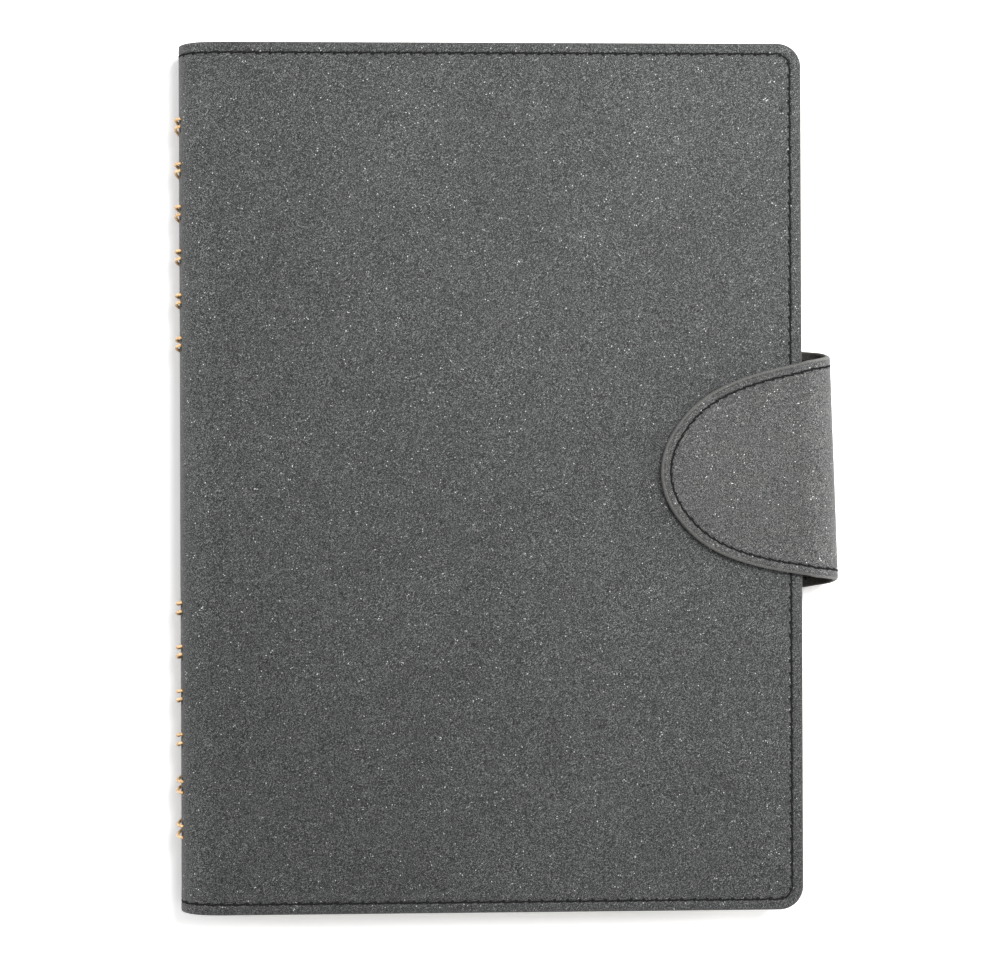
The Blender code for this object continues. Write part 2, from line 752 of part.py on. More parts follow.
def main():
    clear_scene()
    book = new_collection("leather_notebook_cover")
    cutters = new_collection("cutters")
    mats = {
        "leather": new_material("charcoal_leather", (0.085, 0.088, 0.09), 0.62),
        "lining": new_material("black_lining", (0.018, 0.018, 0.019), 0.7),
        "board": new_material("grey_board", (0.3, 0.29, 0.27), 0.85),
        "paper": new_material("cream_paper", (0.84, 0.80, 0.70), 0.9),
        "seam": new_material("black_thread", (0.012, 0.012, 0.013), 0.6),
        "lace": new_material("waxed_linen_thread", (0.62, 0.42, 0.22), 0.55),
        "steel": new_material("nickelled_magnet", (0.62, 0.60, 0.57), 0.3, 1.0),
    }
    build_back(book, cutters, mats)
    front = build_front(book, cutters, mats)
    spine = build_spine(book, cutters, mats)
    sections = build_sections(book, mats)
    tab = build_tab(book, cutters, mats)

    spine_axis = axis_empty("axis_spine_fold", (BEND_X, 0.0, LOW_BEND_Z), book)
    front_axis = axis_empty(
        "axis_front_cover_fold", (BEND_X, 0.0, TOP_BEND_Z), book, parent=spine_axis
    )
    page_axis = axis_empty("axis_page_turn", (BEND_X, 0.0, PAGE_PIVOT_Z), book)
    wall_axis = axis_empty(
        "axis_tab_base_fold", (TAB_X, TAB_Y, TAB_BEND_RADIUS), book, TAB_TILT
    )
    flap_axis = axis_empty(
        "axis_tab_top_fold", (TAB_X, TAB_Y, TAB_TOP_Z), book, TAB_TILT, wall_axis
    )
    hang(spine["wall"] + spine["front"], spine_axis)
    hang(front, front_axis)
    hang(sections[SECTIONS // 2 :], page_axis)
    hang(tab["wall"], wall_axis)
    hang(tab["flap"], flap_axis)
    cutters.hide_render = True


main()
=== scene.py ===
"""Finished look of a wraparound leather notebook cover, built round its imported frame.

Lengths in this file are millimetres until a mesh is made, and +Z is up. The closed book
lies on its back cover, the spine towards -X, the head of the page towards +Y, and the
rounded magnetic tab folds over the fore edge onto the front cover.
"""

from __future__ import annotations

import json
import logging
import math
from dataclasses import dataclass, field
from enum import Enum
from typing import Callable, Sequence

import bmesh
import bpy
import numpy as np
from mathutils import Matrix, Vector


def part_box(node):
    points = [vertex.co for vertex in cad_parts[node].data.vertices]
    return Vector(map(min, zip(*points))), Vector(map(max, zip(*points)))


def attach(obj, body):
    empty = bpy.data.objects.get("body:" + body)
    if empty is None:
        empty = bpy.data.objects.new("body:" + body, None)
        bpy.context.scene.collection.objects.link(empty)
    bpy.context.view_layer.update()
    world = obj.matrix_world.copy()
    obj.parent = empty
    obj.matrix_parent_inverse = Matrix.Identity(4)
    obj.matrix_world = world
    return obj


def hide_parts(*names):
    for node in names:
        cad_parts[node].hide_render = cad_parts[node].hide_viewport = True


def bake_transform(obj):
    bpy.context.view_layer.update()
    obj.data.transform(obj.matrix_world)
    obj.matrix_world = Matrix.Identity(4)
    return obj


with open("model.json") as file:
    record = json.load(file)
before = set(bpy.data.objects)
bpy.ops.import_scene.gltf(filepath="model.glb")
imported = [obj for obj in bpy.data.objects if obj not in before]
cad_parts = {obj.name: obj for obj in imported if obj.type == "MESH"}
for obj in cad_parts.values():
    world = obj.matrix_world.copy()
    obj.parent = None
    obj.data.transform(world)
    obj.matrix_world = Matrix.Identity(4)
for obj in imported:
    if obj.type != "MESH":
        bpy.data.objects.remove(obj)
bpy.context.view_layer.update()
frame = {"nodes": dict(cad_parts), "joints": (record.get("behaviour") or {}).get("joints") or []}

LOG = logging.getLogger("notebook_cover")
MM = 0.001
Array = np.ndarray

# Distances from the cut edge, in millimetres, of the closest grid lines of each sheet.
LEATHER_LINES = (
    (0, 0.08, 0.18, 0.3, 0.45, 0.65, 0.9, 1.3, 1.7, 2.0, 2.2, 2.35, 2.5, 2.6)
    + (2.7, 2.8, 2.9, 3.05, 3.2, 3.5, 4.0, 4.7, 5.4, 6.0)
)
LINING_LINES = (0, 0.3, 0.8, 1.6, 2.6, 3.6, 4.8, 6.0)
TAB_LINES = (
    (0, 0.07, 0.16, 0.27, 0.4, 0.54, 0.66, 0.74, 0.81, 0.88, 0.97, 1.15, 1.5)
    + (1.8, 2.0, 2.15, 2.28, 2.4, 2.52, 2.65, 2.8, 3.0, 3.4, 4.0, 4.7)
)


class Side(Enum):
    """Which half of the wrap a piece belongs to."""

    BACK = "back"
    FRONT = "front"


class TabPart(Enum):
    """Which half of the tab a piece belongs to."""

    ROOT = "root"
    FLAP = "flap"


class Ply(Enum):
    """The sheets that the cover is laminated from."""

    LEATHER = "leather"
    LINING = "lining"


def in_mm(node: str) -> Array:
    """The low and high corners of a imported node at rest, in millimetres."""
    low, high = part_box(node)
    return np.array([low, high], float) / MM


def smoothstep(t: Array) -> Array:
    """The cubic 3t^2 - 2t^3 on t clipped to 0..1."""
    t = np.clip(t, 0.0, 1.0)
    return t * t * (3.0 - 2.0 * t)


def bell(x: Array, width: float) -> Array:
    """The bell curve exp(-(x/width)^2)."""
    return np.exp(-((np.asarray(x) / width) ** 2))


def soft_noise(x: Array, y: Array, seed: int, length: float, waves: int = 7) -> Array:
    """Smooth random height in -1..1: a seeded sum of sines over the plane.

    Args:
        x: First plan coordinate of every point.
        y: Second plan coordinate of every point.
        seed: Seed of the directions and phases.
        length: Typical wave length.
        waves: How many sines are summed.

    Returns:
        One height for each point.
    """
    rng = np.random.default_rng(seed)
    angle = rng.uniform(0.0, math.tau, waves)
    pitch = math.tau / (length * rng.uniform(0.6, 1.7, waves))
    phase = rng.uniform(0.0, math.tau, waves)
    share = rng.uniform(0.5, 1.0, waves)
    way = x[..., None] * np.cos(angle) + y[..., None] * np.sin(angle)
    return (share * np.sin(way * pitch + phase)).sum(-1) / share.sum()


def graded_lines(length: float, near: Sequence[float], step: float) -> Array:
    """Distances from an edge: given lines close to it, then even steps to the far end.

    Args:
        length: Distance from the edge to the far end.
        near: Close lines, starting with 0.
        step: Step of the even part.

    Returns:
        Rising distances from 0 to the length.
    """
    first = np.asarray(near, float)
    count = max(int(round((length - first[-1]) / step)), 1)
    return np.concatenate((first, np.linspace(first[-1], length, count + 1)[1:]))


def grid_quads(rows: int, cols: int, offset: int = 0, around: bool = False) -> Array:
    """Quads of a grid of points stored row by row.

    Args:
        rows: Number of rows of points.
        cols: Number of points in a row.
        offset: Index of the first point.
        around: Whether the last column joins the first.

    Returns:
        An array of quads.
    """
    index = offset + np.arange(rows * cols).reshape(rows, cols)
    ahead = np.roll(index, -1, axis=1) if around else index[:, 1:]
    here = index if around else index[:, :-1]
    quads = np.stack((here[:-1], ahead[:-1], ahead[1:], here[1:]), axis=-1)
    return quads.reshape(-1, 4)


def shell_quads(rows: int, cols: int) -> Array:
    """Quads of a closed shell of two equal grids and the wall round their border.

    Args:
        rows: Number of rows of points in each grid.
        cols: Number of points in a row.

    Returns:
        An array of quads, all facing outwards.
    """
    count = rows * cols
    index = np.arange(count).reshape(rows, cols)
    top = grid_quads(rows, cols)
    bottom = grid_quads(rows, cols, count)[:, ::-1]
    ring = np.concatenate((index[0, :-1], index[:-1, -1], index[-1, :0:-1], index[:0:-1, 0]))
    after = np.roll(ring, -1)
    wall = np.stack((after, ring, ring + count, after + count), axis=-1)
    return np.concatenate((top, bottom, wall))


def solid_piece(
    name: str,
    points: Array,
    quads: Array,
    finish: bpy.types.Material,
    marks: dict[str, Array] | None = None,
    weld: bool = True,
    sharp_deg: float = 50.0,
) -> bpy.types.Object:
    """Make a finished piece from points in millimetres.

    Args:
        name: Name of the piece.
        points: One row of three coordinates for each point.
        quads: Quads over the points.
        finish: Material of the whole piece.
        marks: Named values, one for each point, that the finish reads.
        weld: Whether to merge doubled points and turn faces outward.
        sharp_deg: Edges sharper than this stay crisp.

    Returns:
        The object, standing at the origin.
    """
    mesh = bpy.data.meshes.new(name)
    mesh.from_pydata((points.reshape(-1, 3) * MM).tolist(), [], quads.tolist())
    for mark, values in (marks or {}).items():
        layer = mesh.attributes.new(mark, "FLOAT", "POINT")
        layer.data.foreach_set("value", values.reshape(-1).astype(np.float32))
    if weld:
        shape = bmesh.new()
        shape.from_mesh(mesh)
        bmesh.ops.remove_doubles(shape, verts=shape.verts, dist=2e-7)
        bmesh.ops.recalc_face_normals(shape, faces=shape.faces)
        shape.to_mesh(mesh)
        shape.free()
    mesh.materials.append(finish)
    mesh.shade_smooth()
    mesh.set_sharp_from_angle(angle=math.radians(sharp_deg))
    piece = bpy.data.objects.new(name, mesh)
    bpy.context.scene.collection.objects.link(piece)
    LOG.info("%s: %d faces", name, len(mesh.polygons))
    return piece


@dataclass(frozen=True)
class BookSizes:
    """Sizes of the closed book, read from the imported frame, in millimetres."""

    spine_x: float
    fore_x: float
    top: float
    half_height: float
    bend: float = 6.5
    corner: float = 6.0
    leather: float = 0.70
    lining: float = 0.45
    thin_lining: float = 0.75
    full_lining: float = 1.80
    ramp: float = 2.5
    seam_inset: float = 2.65
    seam_fore_inset: float = 2.85
    seam_corner: float = 3.4
    drawn_in: float = 0.4
    lace_stations: tuple[float, ...] = (33.0, 44.0, 55.0, 66.0, 77.0, 88.0)
    lace_pair: float = 2.4
    lace_lift: float = 0.75
    lace_hole_deg: float = 22.0

    @classmethod
    def from_frame(cls) -> BookSizes:
        """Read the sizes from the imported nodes."""
        front, wall = in_mm("leather_front"), in_mm("leather_spine")
        return cls(wall[0, 0], front[1, 0], front[1, 2], front[1, 1])

    def lace_lines(self) -> list[float]:
        """Heights on the page where the lacing's strands cross the spine.

        Returns:
            Heights of the head block's strands, then of the tail block's.
        """
        return [
            block * station + pair * self.lace_pair + (self.lace_lift if block > 0.0 else 0.0)
            for block in (1.0, -1.0)
            for station in self.lace_stations
            for pair in (0.5, -0.5)
        ]

    @property
    def lace_hole(self) -> float:
        """Unrolled distance from mid-spine to the lacing's holes."""
        return self.half_wall + self.bend * math.radians(self.lace_hole_deg)

    @property
    def bend_x(self) -> float:
        """X of the axes that the spine bends turn on."""
        return self.spine_x + self.bend

    @property
    def half_wall(self) -> float:
        """Half the height of the upright wall of the spine."""
        return self.top / 2.0 - self.bend

    @property
    def arc(self) -> float:
        """Length of one bend on its outer face."""
        return self.bend * math.pi / 2.0

    @property
    def length(self) -> float:
        """Unrolled length from the middle of the spine to the fore edge."""
        return self.half_wall + self.arc + self.fore_x - self.bend_x


@dataclass
class WrapHalf:
    """One half of the wrap, unrolled: s from the middle of the spine, y along the page.

    The front half climbs the upper half of the spine, turns through the bend and runs to
    the fore edge; the back half is its mirror image in the book's middle plane.
    """

    sizes: BookSizes
    side: Side

    def place(self, s: Array, y: Array, depth: Array) -> Array:
        """Fold unrolled points into the book.

        The path is a straight wall, a quarter circle and a straight panel, and a point
        lies its depth inwards from the path along the path's normal. The head and tail
        are drawn in a little where the leather turns into the spine.

        Args:
            s: Unrolled distance from the middle of the spine.
            y: Height on the page.
            depth: Depth under the outer face.

        Returns:
            Points in the book, with a last axis of three.
        """
        b = self.sizes
        s, y, depth = np.broadcast_arrays(s, y, depth)
        pull = 1.0 - smoothstep((s - b.half_wall) / (b.arc + 5.0))
        y = y * (1.0 - b.drawn_in * pull / b.half_height)
        turn = np.clip((s - b.half_wall) / b.bend, 0.0, math.pi / 2.0)
        climb = np.minimum(s, b.half_wall)
        along = np.maximum(s - b.half_wall - b.arc, 0.0)
        radius = b.bend - depth
        x = b.bend_x - radius * np.cos(turn) + along
        z = b.top / 2.0 + climb + radius * np.sin(turn)
        if self.side is Side.BACK:
            z = b.top - z
        return np.stack((x, y, z), axis=-1)

    def round_corner(self, s: Array, y: Array) -> tuple[Array, Array]:
        """Pull the square corners of the grid onto quarter circles.

        In a corner patch with a and b in 0..1, a becomes a*sqrt(1 - b^2/2) and b becomes
        b*sqrt(1 - a^2/2), which carries the square's rim onto the circle.

        Args:
            s: Unrolled distance from mid-spine.
            y: Height on the page.

        Returns:
            The moved distances and heights.
        """
        b = self.sizes
        a = np.clip((s - (b.length - b.corner)) / b.corner, 0.0, 1.0)
        c = np.clip((np.abs(y) - (b.half_height - b.corner)) / b.corner, 0.0, 1.0)
        s_new = s - a * b.corner * (1.0 - np.sqrt(1.0 - c * c / 2.0))
        y_new = y - np.sign(y) * c * b.corner * (1.0 - np.sqrt(1.0 - a * a / 2.0))
        return s_new, y_new

    def edge_distance(
        self, s: Array, y: Array, inset: float, radius: float, fore: float | None = None
    ) -> Array:
        """Distance inwards from a rounded outline that is inset from the cut edge.

        Args:
            s: Unrolled distance from mid-spine.
            y: Height on the page.
            inset: Inset of the outline from head and tail.
            radius: Radius of the outline's corners.
            fore: Inset from the fore edge, if it isn't the same.

        Returns:
            Distances, positive inside the outline.
        """
        b = self.sizes
        ds = s - (b.length - (inset if fore is None else fore) - radius)
        dy = np.abs(y) - (b.half_height - inset - radius)
        outside = np.hypot(np.maximum(ds, 0.0), np.maximum(dy, 0.0))
        return radius - outside - np.minimum(np.maximum(ds, dy), 0.0)

    def lines(self, ply: Ply) -> tuple[Array, Array]:
        """Grid lines along s and along y, close together at edges and bends.

        Args:
            ply: The sheet that the grid is for.

        Returns:
            Rising lines along s, and rising lines along y.
        """
        b = self.sizes
        fine = ply is Ply.LEATHER
        near = LEATHER_LINES if fine else LINING_LINES
        step = 1.5 if fine else 4.0
        panel = b.fore_x - b.bend_x
        flat = b.length - graded_lines(panel, near, step)[::-1]
        if ply is Ply.LINING:
            ramp = b.length - panel + np.linspace(0.0, b.ramp + 0.4, 9)
            flat = np.concatenate((ramp, flat[flat > ramp[-1] + 0.5]))
        wall = np.linspace(0.0, b.half_wall, 4 if fine else 3)
        bend = np.linspace(b.half_wall, b.half_wall + b.arc, 25 if fine else 15)
        s = np.concatenate((wall, bend[1:], flat[1:]))
        half = graded_lines(b.half_height, near, step)
        y = np.concatenate((half - b.half_height, b.half_height - half[-2::-1]))
        if fine:
            around = np.array((-0.75, -0.4, -0.1, 0.2, 0.5, 0.85))
            slits = (np.array(b.lace_lines())[:, None] + around).ravel()
            clear = np.min(np.abs(y[:, None] - slits), axis=1) > 0.25
            y = np.sort(np.concatenate((y[clear], slits)))
        return s, y

    def lace_gap(self, s: Array, y: Array) -> Array:
        """Nearness to the lacing's slits: a bell round each strand's hole.

        Args:
            s: Unrolled distance from mid-spine.
            y: Height on the page.

        Returns:
            Nearness, 1 in a slit and 0 away from all of them.
        """
        holes = self.sizes.lace_hole
        gap = np.min(np.abs(y[..., None] - np.array(self.sizes.lace_lines())), axis=-1)
        shift, width = 0.25, 0.42
        return bell(gap - shift, width) * bell(s - holes, width)

    def outer_grid(self, ply: Ply) -> tuple[Array, Array]:
        """Unrolled grid of a ply with its two rounded corners.

        Args:
            ply: The sheet that the grid is for.

        Returns:
            Unrolled distances and heights of every grid point.
        """
        s, y = self.lines(ply)
        s_grid, y_grid = np.meshgrid(s, y, indexing="ij")
        return self.round_corner(s_grid, y_grid)

    def seam_distance(self, s: Array, y: Array) -> Array:
        """Distance from the line of stitches near the edge, on either side.

        Args:
            s: Unrolled distance from mid-spine.
            y: Height on the page.

        Returns:
            Distances, never negative.
        """
        b = self.sizes
        gap = self.edge_distance(s, y, b.seam_inset, b.seam_corner, b.seam_fore_inset)
        return np.abs(gap)


class NodeBench:
    """A small helper that adds and joins shader nodes."""

    def __init__(self, name: str) -> None:
        """Start a material with an empty Principled shader.

        Args:
            name: Name of the material.
        """
        self.material = bpy.data.materials.new(name)
        self.material.use_nodes = True
        self.tree = self.material.node_tree
        self.shader = self.tree.nodes["Principled BSDF"]
        self.place = self.tree.nodes.new("ShaderNodeTexCoord").outputs["Object"]

    def put(self, socket: bpy.types.NodeSocket, value: object) -> None:
        """Join a socket to another socket, or set its value.

        Args:
            socket: The input to feed.
            value: A socket to join to it, or the value that it keeps.
        """
        if isinstance(value, bpy.types.NodeSocket):
            self.tree.links.new(value, socket)
        else:
            socket.default_value = value

    def noise(
        self,
        scale: float,
        detail: float = 3.0,
        rough: float = 0.5,
        where: bpy.types.NodeSocket | None = None,
        distortion: float = 0.0,
    ) -> bpy.types.NodeSocket:
        """A noise value in 0..1 at a scale in waves per metre.

        Args:
            scale: Waves per metre.
            detail: Number of finer octaves.
            rough: Strength of each finer octave.
            where: Coordinates, if not the object's own.
            distortion: How far the coordinates are warped.

        Returns:
            The noise value.
        """
        node = self.tree.nodes.new("ShaderNodeTexNoise")
        self.put(node.inputs["Vector"], where or self.place)
        node.inputs["Scale"].default_value = scale
        node.inputs["Detail"].default_value = detail
        node.inputs["Roughness"].default_value = rough
        node.inputs["Distortion"].default_value = distortion
        return node.outputs["Fac"]

    def cells(self, scale: float, feature: str = "F1") -> bpy.types.Node:
        """A Voronoi node at a scale in cells per metre.

        Args:
            scale: Cells per metre.
            feature: Which distance is measured.

        Returns:
            The node, for its distance or its colour.
        """
        node = self.tree.nodes.new("ShaderNodeTexVoronoi")
        node.feature = feature
        self.put(node.inputs["Vector"], self.place)
        node.inputs["Scale"].default_value = scale
        return node

    def math(self, kind: str, a: object, b: object, clamp: bool = False) -> object:
        """One arithmetic node.

        Args:
            kind: Name of the operation.
            a: First number or socket.
            b: Second number or socket.
            clamp: Whether to clip the result to 0..1.

        Returns:
            A socket that carries the result.
        """
        node = self.tree.nodes.new("ShaderNodeMath")
        node.operation = kind
        node.use_clamp = clamp
        self.put(node.inputs[0], a)
        self.put(node.inputs[1], b)
        return node.outputs[0]

    def times(self, a: object, b: object, clamp: bool = False) -> object:
        """The product of two numbers or sockets, clipped to 0..1 where that is asked."""
        return self.math("MULTIPLY", a, b, clamp)

    def plus(self, a: object, b: object) -> object:
        """The sum of two numbers or sockets."""
        return self.math("ADD", a, b)

    def minus(self, a: object, b: object) -> object:
        """The first number or socket less the second."""
        return self.math("SUBTRACT", a, b)

    def ramp(self, value: object, low: float, high: float, smooth: bool = True) -> object:
        """Map a range of a value onto 0..1, clamped.

        Args:
            value: Number or socket to map.
            low: Value that becomes 0.
            high: Value that becomes 1.
            smooth: Whether to ease in and out.

        Returns:
            A socket that carries the result.
        """
        node = self.tree.nodes.new("ShaderNodeMapRange")
        node.interpolation_type = "SMOOTHSTEP" if smooth else "LINEAR"
        self.put(node.inputs["Value"], value)
        node.inputs["From Min"].default_value = low
        node.inputs["From Max"].default_value = high
        return node.outputs["Result"]

    def mix(self, share: object, a: object, b: object, kind: str = "MIX") -> object:
        """Mix two colours.

        Args:
            share: Share of the second colour.
            a: First colour.
            b: Second colour.
            kind: Name of the blend.

        Returns:
            A socket that carries the result.
        """
        node = self.tree.nodes.new("ShaderNodeMix")
        node.data_type = "RGBA"
        node.blend_type = kind
        self.put(node.inputs[0], share)
        for socket, value in ((node.inputs[6], a), (node.inputs[7], b)):
            self.put(socket, (*value, 1.0) if isinstance(value, tuple) else value)
        return node.outputs[2]

    def along(self, way: tuple[float, float, float]) -> bpy.types.NodeSocket:
        """Distance in metres along a direction, from the origin.

        Args:
            way: The direction.

        Returns:
            A socket that carries the result.
        """
        node = self.tree.nodes.new("ShaderNodeVectorMath")
        node.operation = "DOT_PRODUCT"
        self.put(node.inputs[0], self.place)
        node.inputs[1].default_value = way
        return node.outputs["Value"]

    def scaled(self, colour: object, share: object) -> bpy.types.NodeSocket:
        """A colour times a number.

        Args:
            colour: Socket of the colour.
            share: The number.

        Returns:
            A socket that carries the result.
        """
        node = self.tree.nodes.new("ShaderNodeVectorMath")
        node.operation = "SCALE"
        self.put(node.inputs[0], colour)
        self.put(node.inputs["Scale"], share)
        return node.outputs["Vector"]

    def grey(self, colour: bpy.types.NodeSocket) -> bpy.types.NodeSocket:
        """The first channel of a colour.

        Args:
            colour: Socket of the colour.

        Returns:
            A socket that carries the result.
        """
        node = self.tree.nodes.new("ShaderNodeSeparateColor")
        self.put(node.inputs[0], colour)
        return node.outputs[0]

    def mark(self, name: str) -> bpy.types.NodeSocket:
        """A named value that the piece's points carry.

        Args:
            name: Name of the value.

        Returns:
            A socket that carries the result.
        """
        node = self.tree.nodes.new("ShaderNodeAttribute")
        node.attribute_name = name
        return node.outputs["Fac"]

    def stretched(self, scale: tuple[float, float, float]) -> object:
        """Object coordinates scaled along each axis.

        Args:
            scale: Factor along each axis.

        Returns:
            The coordinates.
        """
        node = self.tree.nodes.new("ShaderNodeMapping")
        self.put(node.inputs["Vector"], self.place)
        node.inputs["Scale"].default_value = scale
        return node.outputs["Vector"]

    def drawn(self, turn: float, length: float, width: float) -> object:
        """Object coordinates turned about Z and then drawn out along the turned X.

        Args:
            turn: Turn about Z.
            length: How far they are drawn out along the turned X.
            width: The same along the turned Y.

        Returns:
            The coordinates.
        """
        node = self.tree.nodes.new("ShaderNodeMapping")
        node.vector_type = "TEXTURE"
        self.put(node.inputs["Vector"], self.place)
        node.inputs["Rotation"].default_value = (0.0, 0.0, turn)
        node.inputs["Scale"].default_value = (length, width, 1.0)
        return node.outputs["Vector"]

    def bump(self, height: object, strength: float, depth: float, under: object = None) -> object:
        """A bump from a height, on top of another bump.

        Args:
            height: Socket of the height, 0..1.
            strength: Strength of the bump.
            depth: Height in metres that 1 stands for.
            under: Normal of the bump that this one lies on.

        Returns:
            The bumped normal.
        """
        node = self.tree.nodes.new("ShaderNodeBump")
        node.inputs["Strength"].default_value = strength
        node.inputs["Distance"].default_value = depth
        self.put(node.inputs["Height"], height)
        if under is not None:
            self.put(node.inputs["Normal"], under)
        return node.outputs["Normal"]


@dataclass(frozen=True)
class BondedLeather:
    """Bonded leather: dark ground, a fine nap of pale fibres, cloudy wear, pale cut edges with a
    painted edge highlight, painted shade in furrows, and painted light on bends and towards the
    head.
    """

    name: str
    ground: tuple[float, float, float]
    nap: tuple[float, float, float]
    fibre: tuple[float, float, float]
    # pale cut-edge colour, which also serves as a painted highlight on the rounded edge
    edge: tuple[float, float, float]
    roughness: float = 0.55
    specular: float = 0.18
    sheen: float = 0.15
    cloud: float = 0.12
    # painted light: the colour grows brighter by this share per metre towards the head and fore
    # edge
    painted_light_slope: float = 1.7
    # painted highlight: how much paler the bends of the leather are painted
    fold: float = 0.30
    fuzz: float = 0.85
    bump: float = 0.3
    nap_scale: float = 5600.0
    tint_scale: float = 5200.0
    pit_scale: float = 4300.0
    fibre_scales: tuple[float, float] = (5200.0, 5000.0)
    sway_scale: float = 230.0
    fleck_scale: float = 1500.0
    patch_scales: tuple[float, float] = (700.0, 640.0)
    cloud_scales: tuple[float, float] = (34.0, 150.0)
    # painted shade: near-black laid in the seam furrows, the tab's crease and the lacing slits
    hole: tuple[float, float, float] = (0.006, 0.006, 0.006)
    # painted light: the direction in which the colour is painted brighter, towards the head and
    # fore edge
    painted_light_way: tuple[float, float, float] = (0.75, 0.80, 0.0)

    def fibres(self, bench: NodeBench, scale: float, turn: float) -> object:
        """1 on a lying fibre: the crests of a drawn-out, gently warped noise, else 0."""
        winding = bench.noise(scale, 1.0, 0.5, bench.drawn(turn, 2.1, 0.85), 0.7)
        return bench.ramp(winding, 0.53, 0.68)

    def crossed_fibres(self, bench: NodeBench) -> object:
        """Two sets of lying fibres that give way to each other across the sheet.

        Args:
            bench: The material being built.

        Returns:
            A socket that is 1 on a fibre.
        """
        one = self.fibres(bench, self.fibre_scales[0], -0.75)
        two = self.fibres(bench, self.fibre_scales[1], 0.65)
        sway = bench.ramp(bench.noise(self.sway_scale, 2.0, 0.5), 0.42, 0.58)
        return bench.plus(bench.times(one, sway), bench.times(two, bench.minus(1.0, sway)))

    def flecked(self, bench: NodeBench, colour: object) -> object:
        """Scatter pale flecks over a colour, and a few bright ones.

        Args:
            bench: The material being built.
            colour: Socket of the colour.

        Returns:
            Socket of the flecked colour.
        """
        dots = bench.ramp(bench.cells(self.fleck_scale).outputs["Distance"], 0.25, 0.14)
        some = bench.ramp(bench.noise(self.patch_scales[0], 1.0, 0.5), 0.57, 0.66)
        rare = bench.ramp(bench.noise(self.patch_scales[1], 1.0, 0.5), 0.63, 0.66)
        colour = bench.mix(bench.times(bench.times(dots, some), self.fuzz), colour, self.fibre)
        bright = tuple(min(c * 3.2, 0.9) for c in self.fibre)
        return bench.mix(bench.times(bench.times(dots, rare), 0.9), colour, bright)

    def edges_and_painted_light(self, bench: NodeBench, colour: object) -> object:
        """Pale cut edges with a painted edge highlight, painted shade in furrows, creases and
        slits, painted highlights on the bends, and painted light that grows towards the head and
        fore edge.

        Args:
            bench: The material being built.
            colour: Socket of the colour.

        Returns:
            Socket of the worn colour.
        """
        # pale cut edge, partly a painted highlight on the rounded edge
        colour = bench.mix(bench.times(bench.mark("edge"), 0.8, True), colour, self.edge)
        # painted shade: darkening in the stitch furrows, the tab's crease and the lacing slits
        furrow = bench.times(bench.mark("furrow"), 0.95, True)
        colour = bench.mix(furrow, colour, self.hole)
        # painted light: the colour is scaled brighter towards the head and fore edge and darker
        # towards the tail and spine
        painted_light_slope = bench.times(bench.along(self.painted_light_way), self.painted_light_slope)
        # painted highlight: the marked bends are painted paler
        wear_and_highlight = bench.times(bench.mark("fold"), self.fold)
        return bench.scaled(colour, bench.plus(bench.plus(painted_light_slope, wear_and_highlight), 1.0))

    def make(self) -> bpy.types.Material:
        """Build the leather's shader from pits, nap, fibres, flecks, clouds and wear.

        Returns:
            The finished material.
        """
        bench = NodeBench(self.name)
        fine = bench.noise(self.nap_scale, 1.0, 0.5, bench.drawn(0.7, 1.35, 0.9))
        tint = bench.grey(bench.cells(self.tint_scale).outputs["Color"])
        grain = bench.times(bench.ramp(fine, 0.44, 0.57), bench.ramp(tint, -0.35, 0.9))
        second = bench.noise(self.pit_scale, 1.0, 0.5, bench.drawn(-0.6, 1.35, 0.9))
        pits = bench.ramp(second, 0.46, 0.38)
        fibres = self.crossed_fibres(bench)
        wide = bench.noise(self.cloud_scales[0], 3.0, 0.55)
        middle = bench.noise(self.cloud_scales[1], 3.0, 0.6)
        clouds = bench.plus(bench.times(wide, 0.55), bench.times(middle, 0.45))
        colour = bench.mix(grain, self.ground, self.nap)
        deep = tuple(c * 0.3 for c in self.ground)
        colour = bench.mix(bench.times(pits, 0.75), colour, deep)
        colour = bench.mix(bench.times(fibres, self.fuzz), colour, self.fibre)
        colour = self.flecked(bench, colour)
        shade = bench.ramp(clouds, 0.34, 0.66, smooth=False)
        low, high = 1.0 - self.cloud, 1.0 + self.cloud
        tone = bench.mix(shade, (low, low, low), (high, high, high))
        colour = self.edges_and_painted_light(bench, bench.mix(1.0, colour, tone, "MULTIPLY"))
        bench.put(bench.shader.inputs["Base Color"], colour)
        rough = bench.times(bench.ramp(fine, 0.3, 0.7, smooth=False), 0.14)
        bench.put(bench.shader.inputs["Roughness"], bench.plus(rough, self.roughness - 0.07))
        bench.shader.inputs["Specular IOR Level"].default_value = self.specular
        bench.shader.inputs["Sheen Weight"].default_value = self.sheen
        bench.shader.inputs["Sheen Roughness"].default_value = 0.5
        raised = bench.plus(bench.times(grain, 0.6), bench.times(fibres, 0.7))
        height = bench.minus(raised, bench.times(pits, 0.5))
        slow = bench.bump(clouds, 0.25, 0.0006)
        bench.put(bench.shader.inputs["Normal"], bench.bump(height, self.bump, 0.00011, slow))
        return bench.material


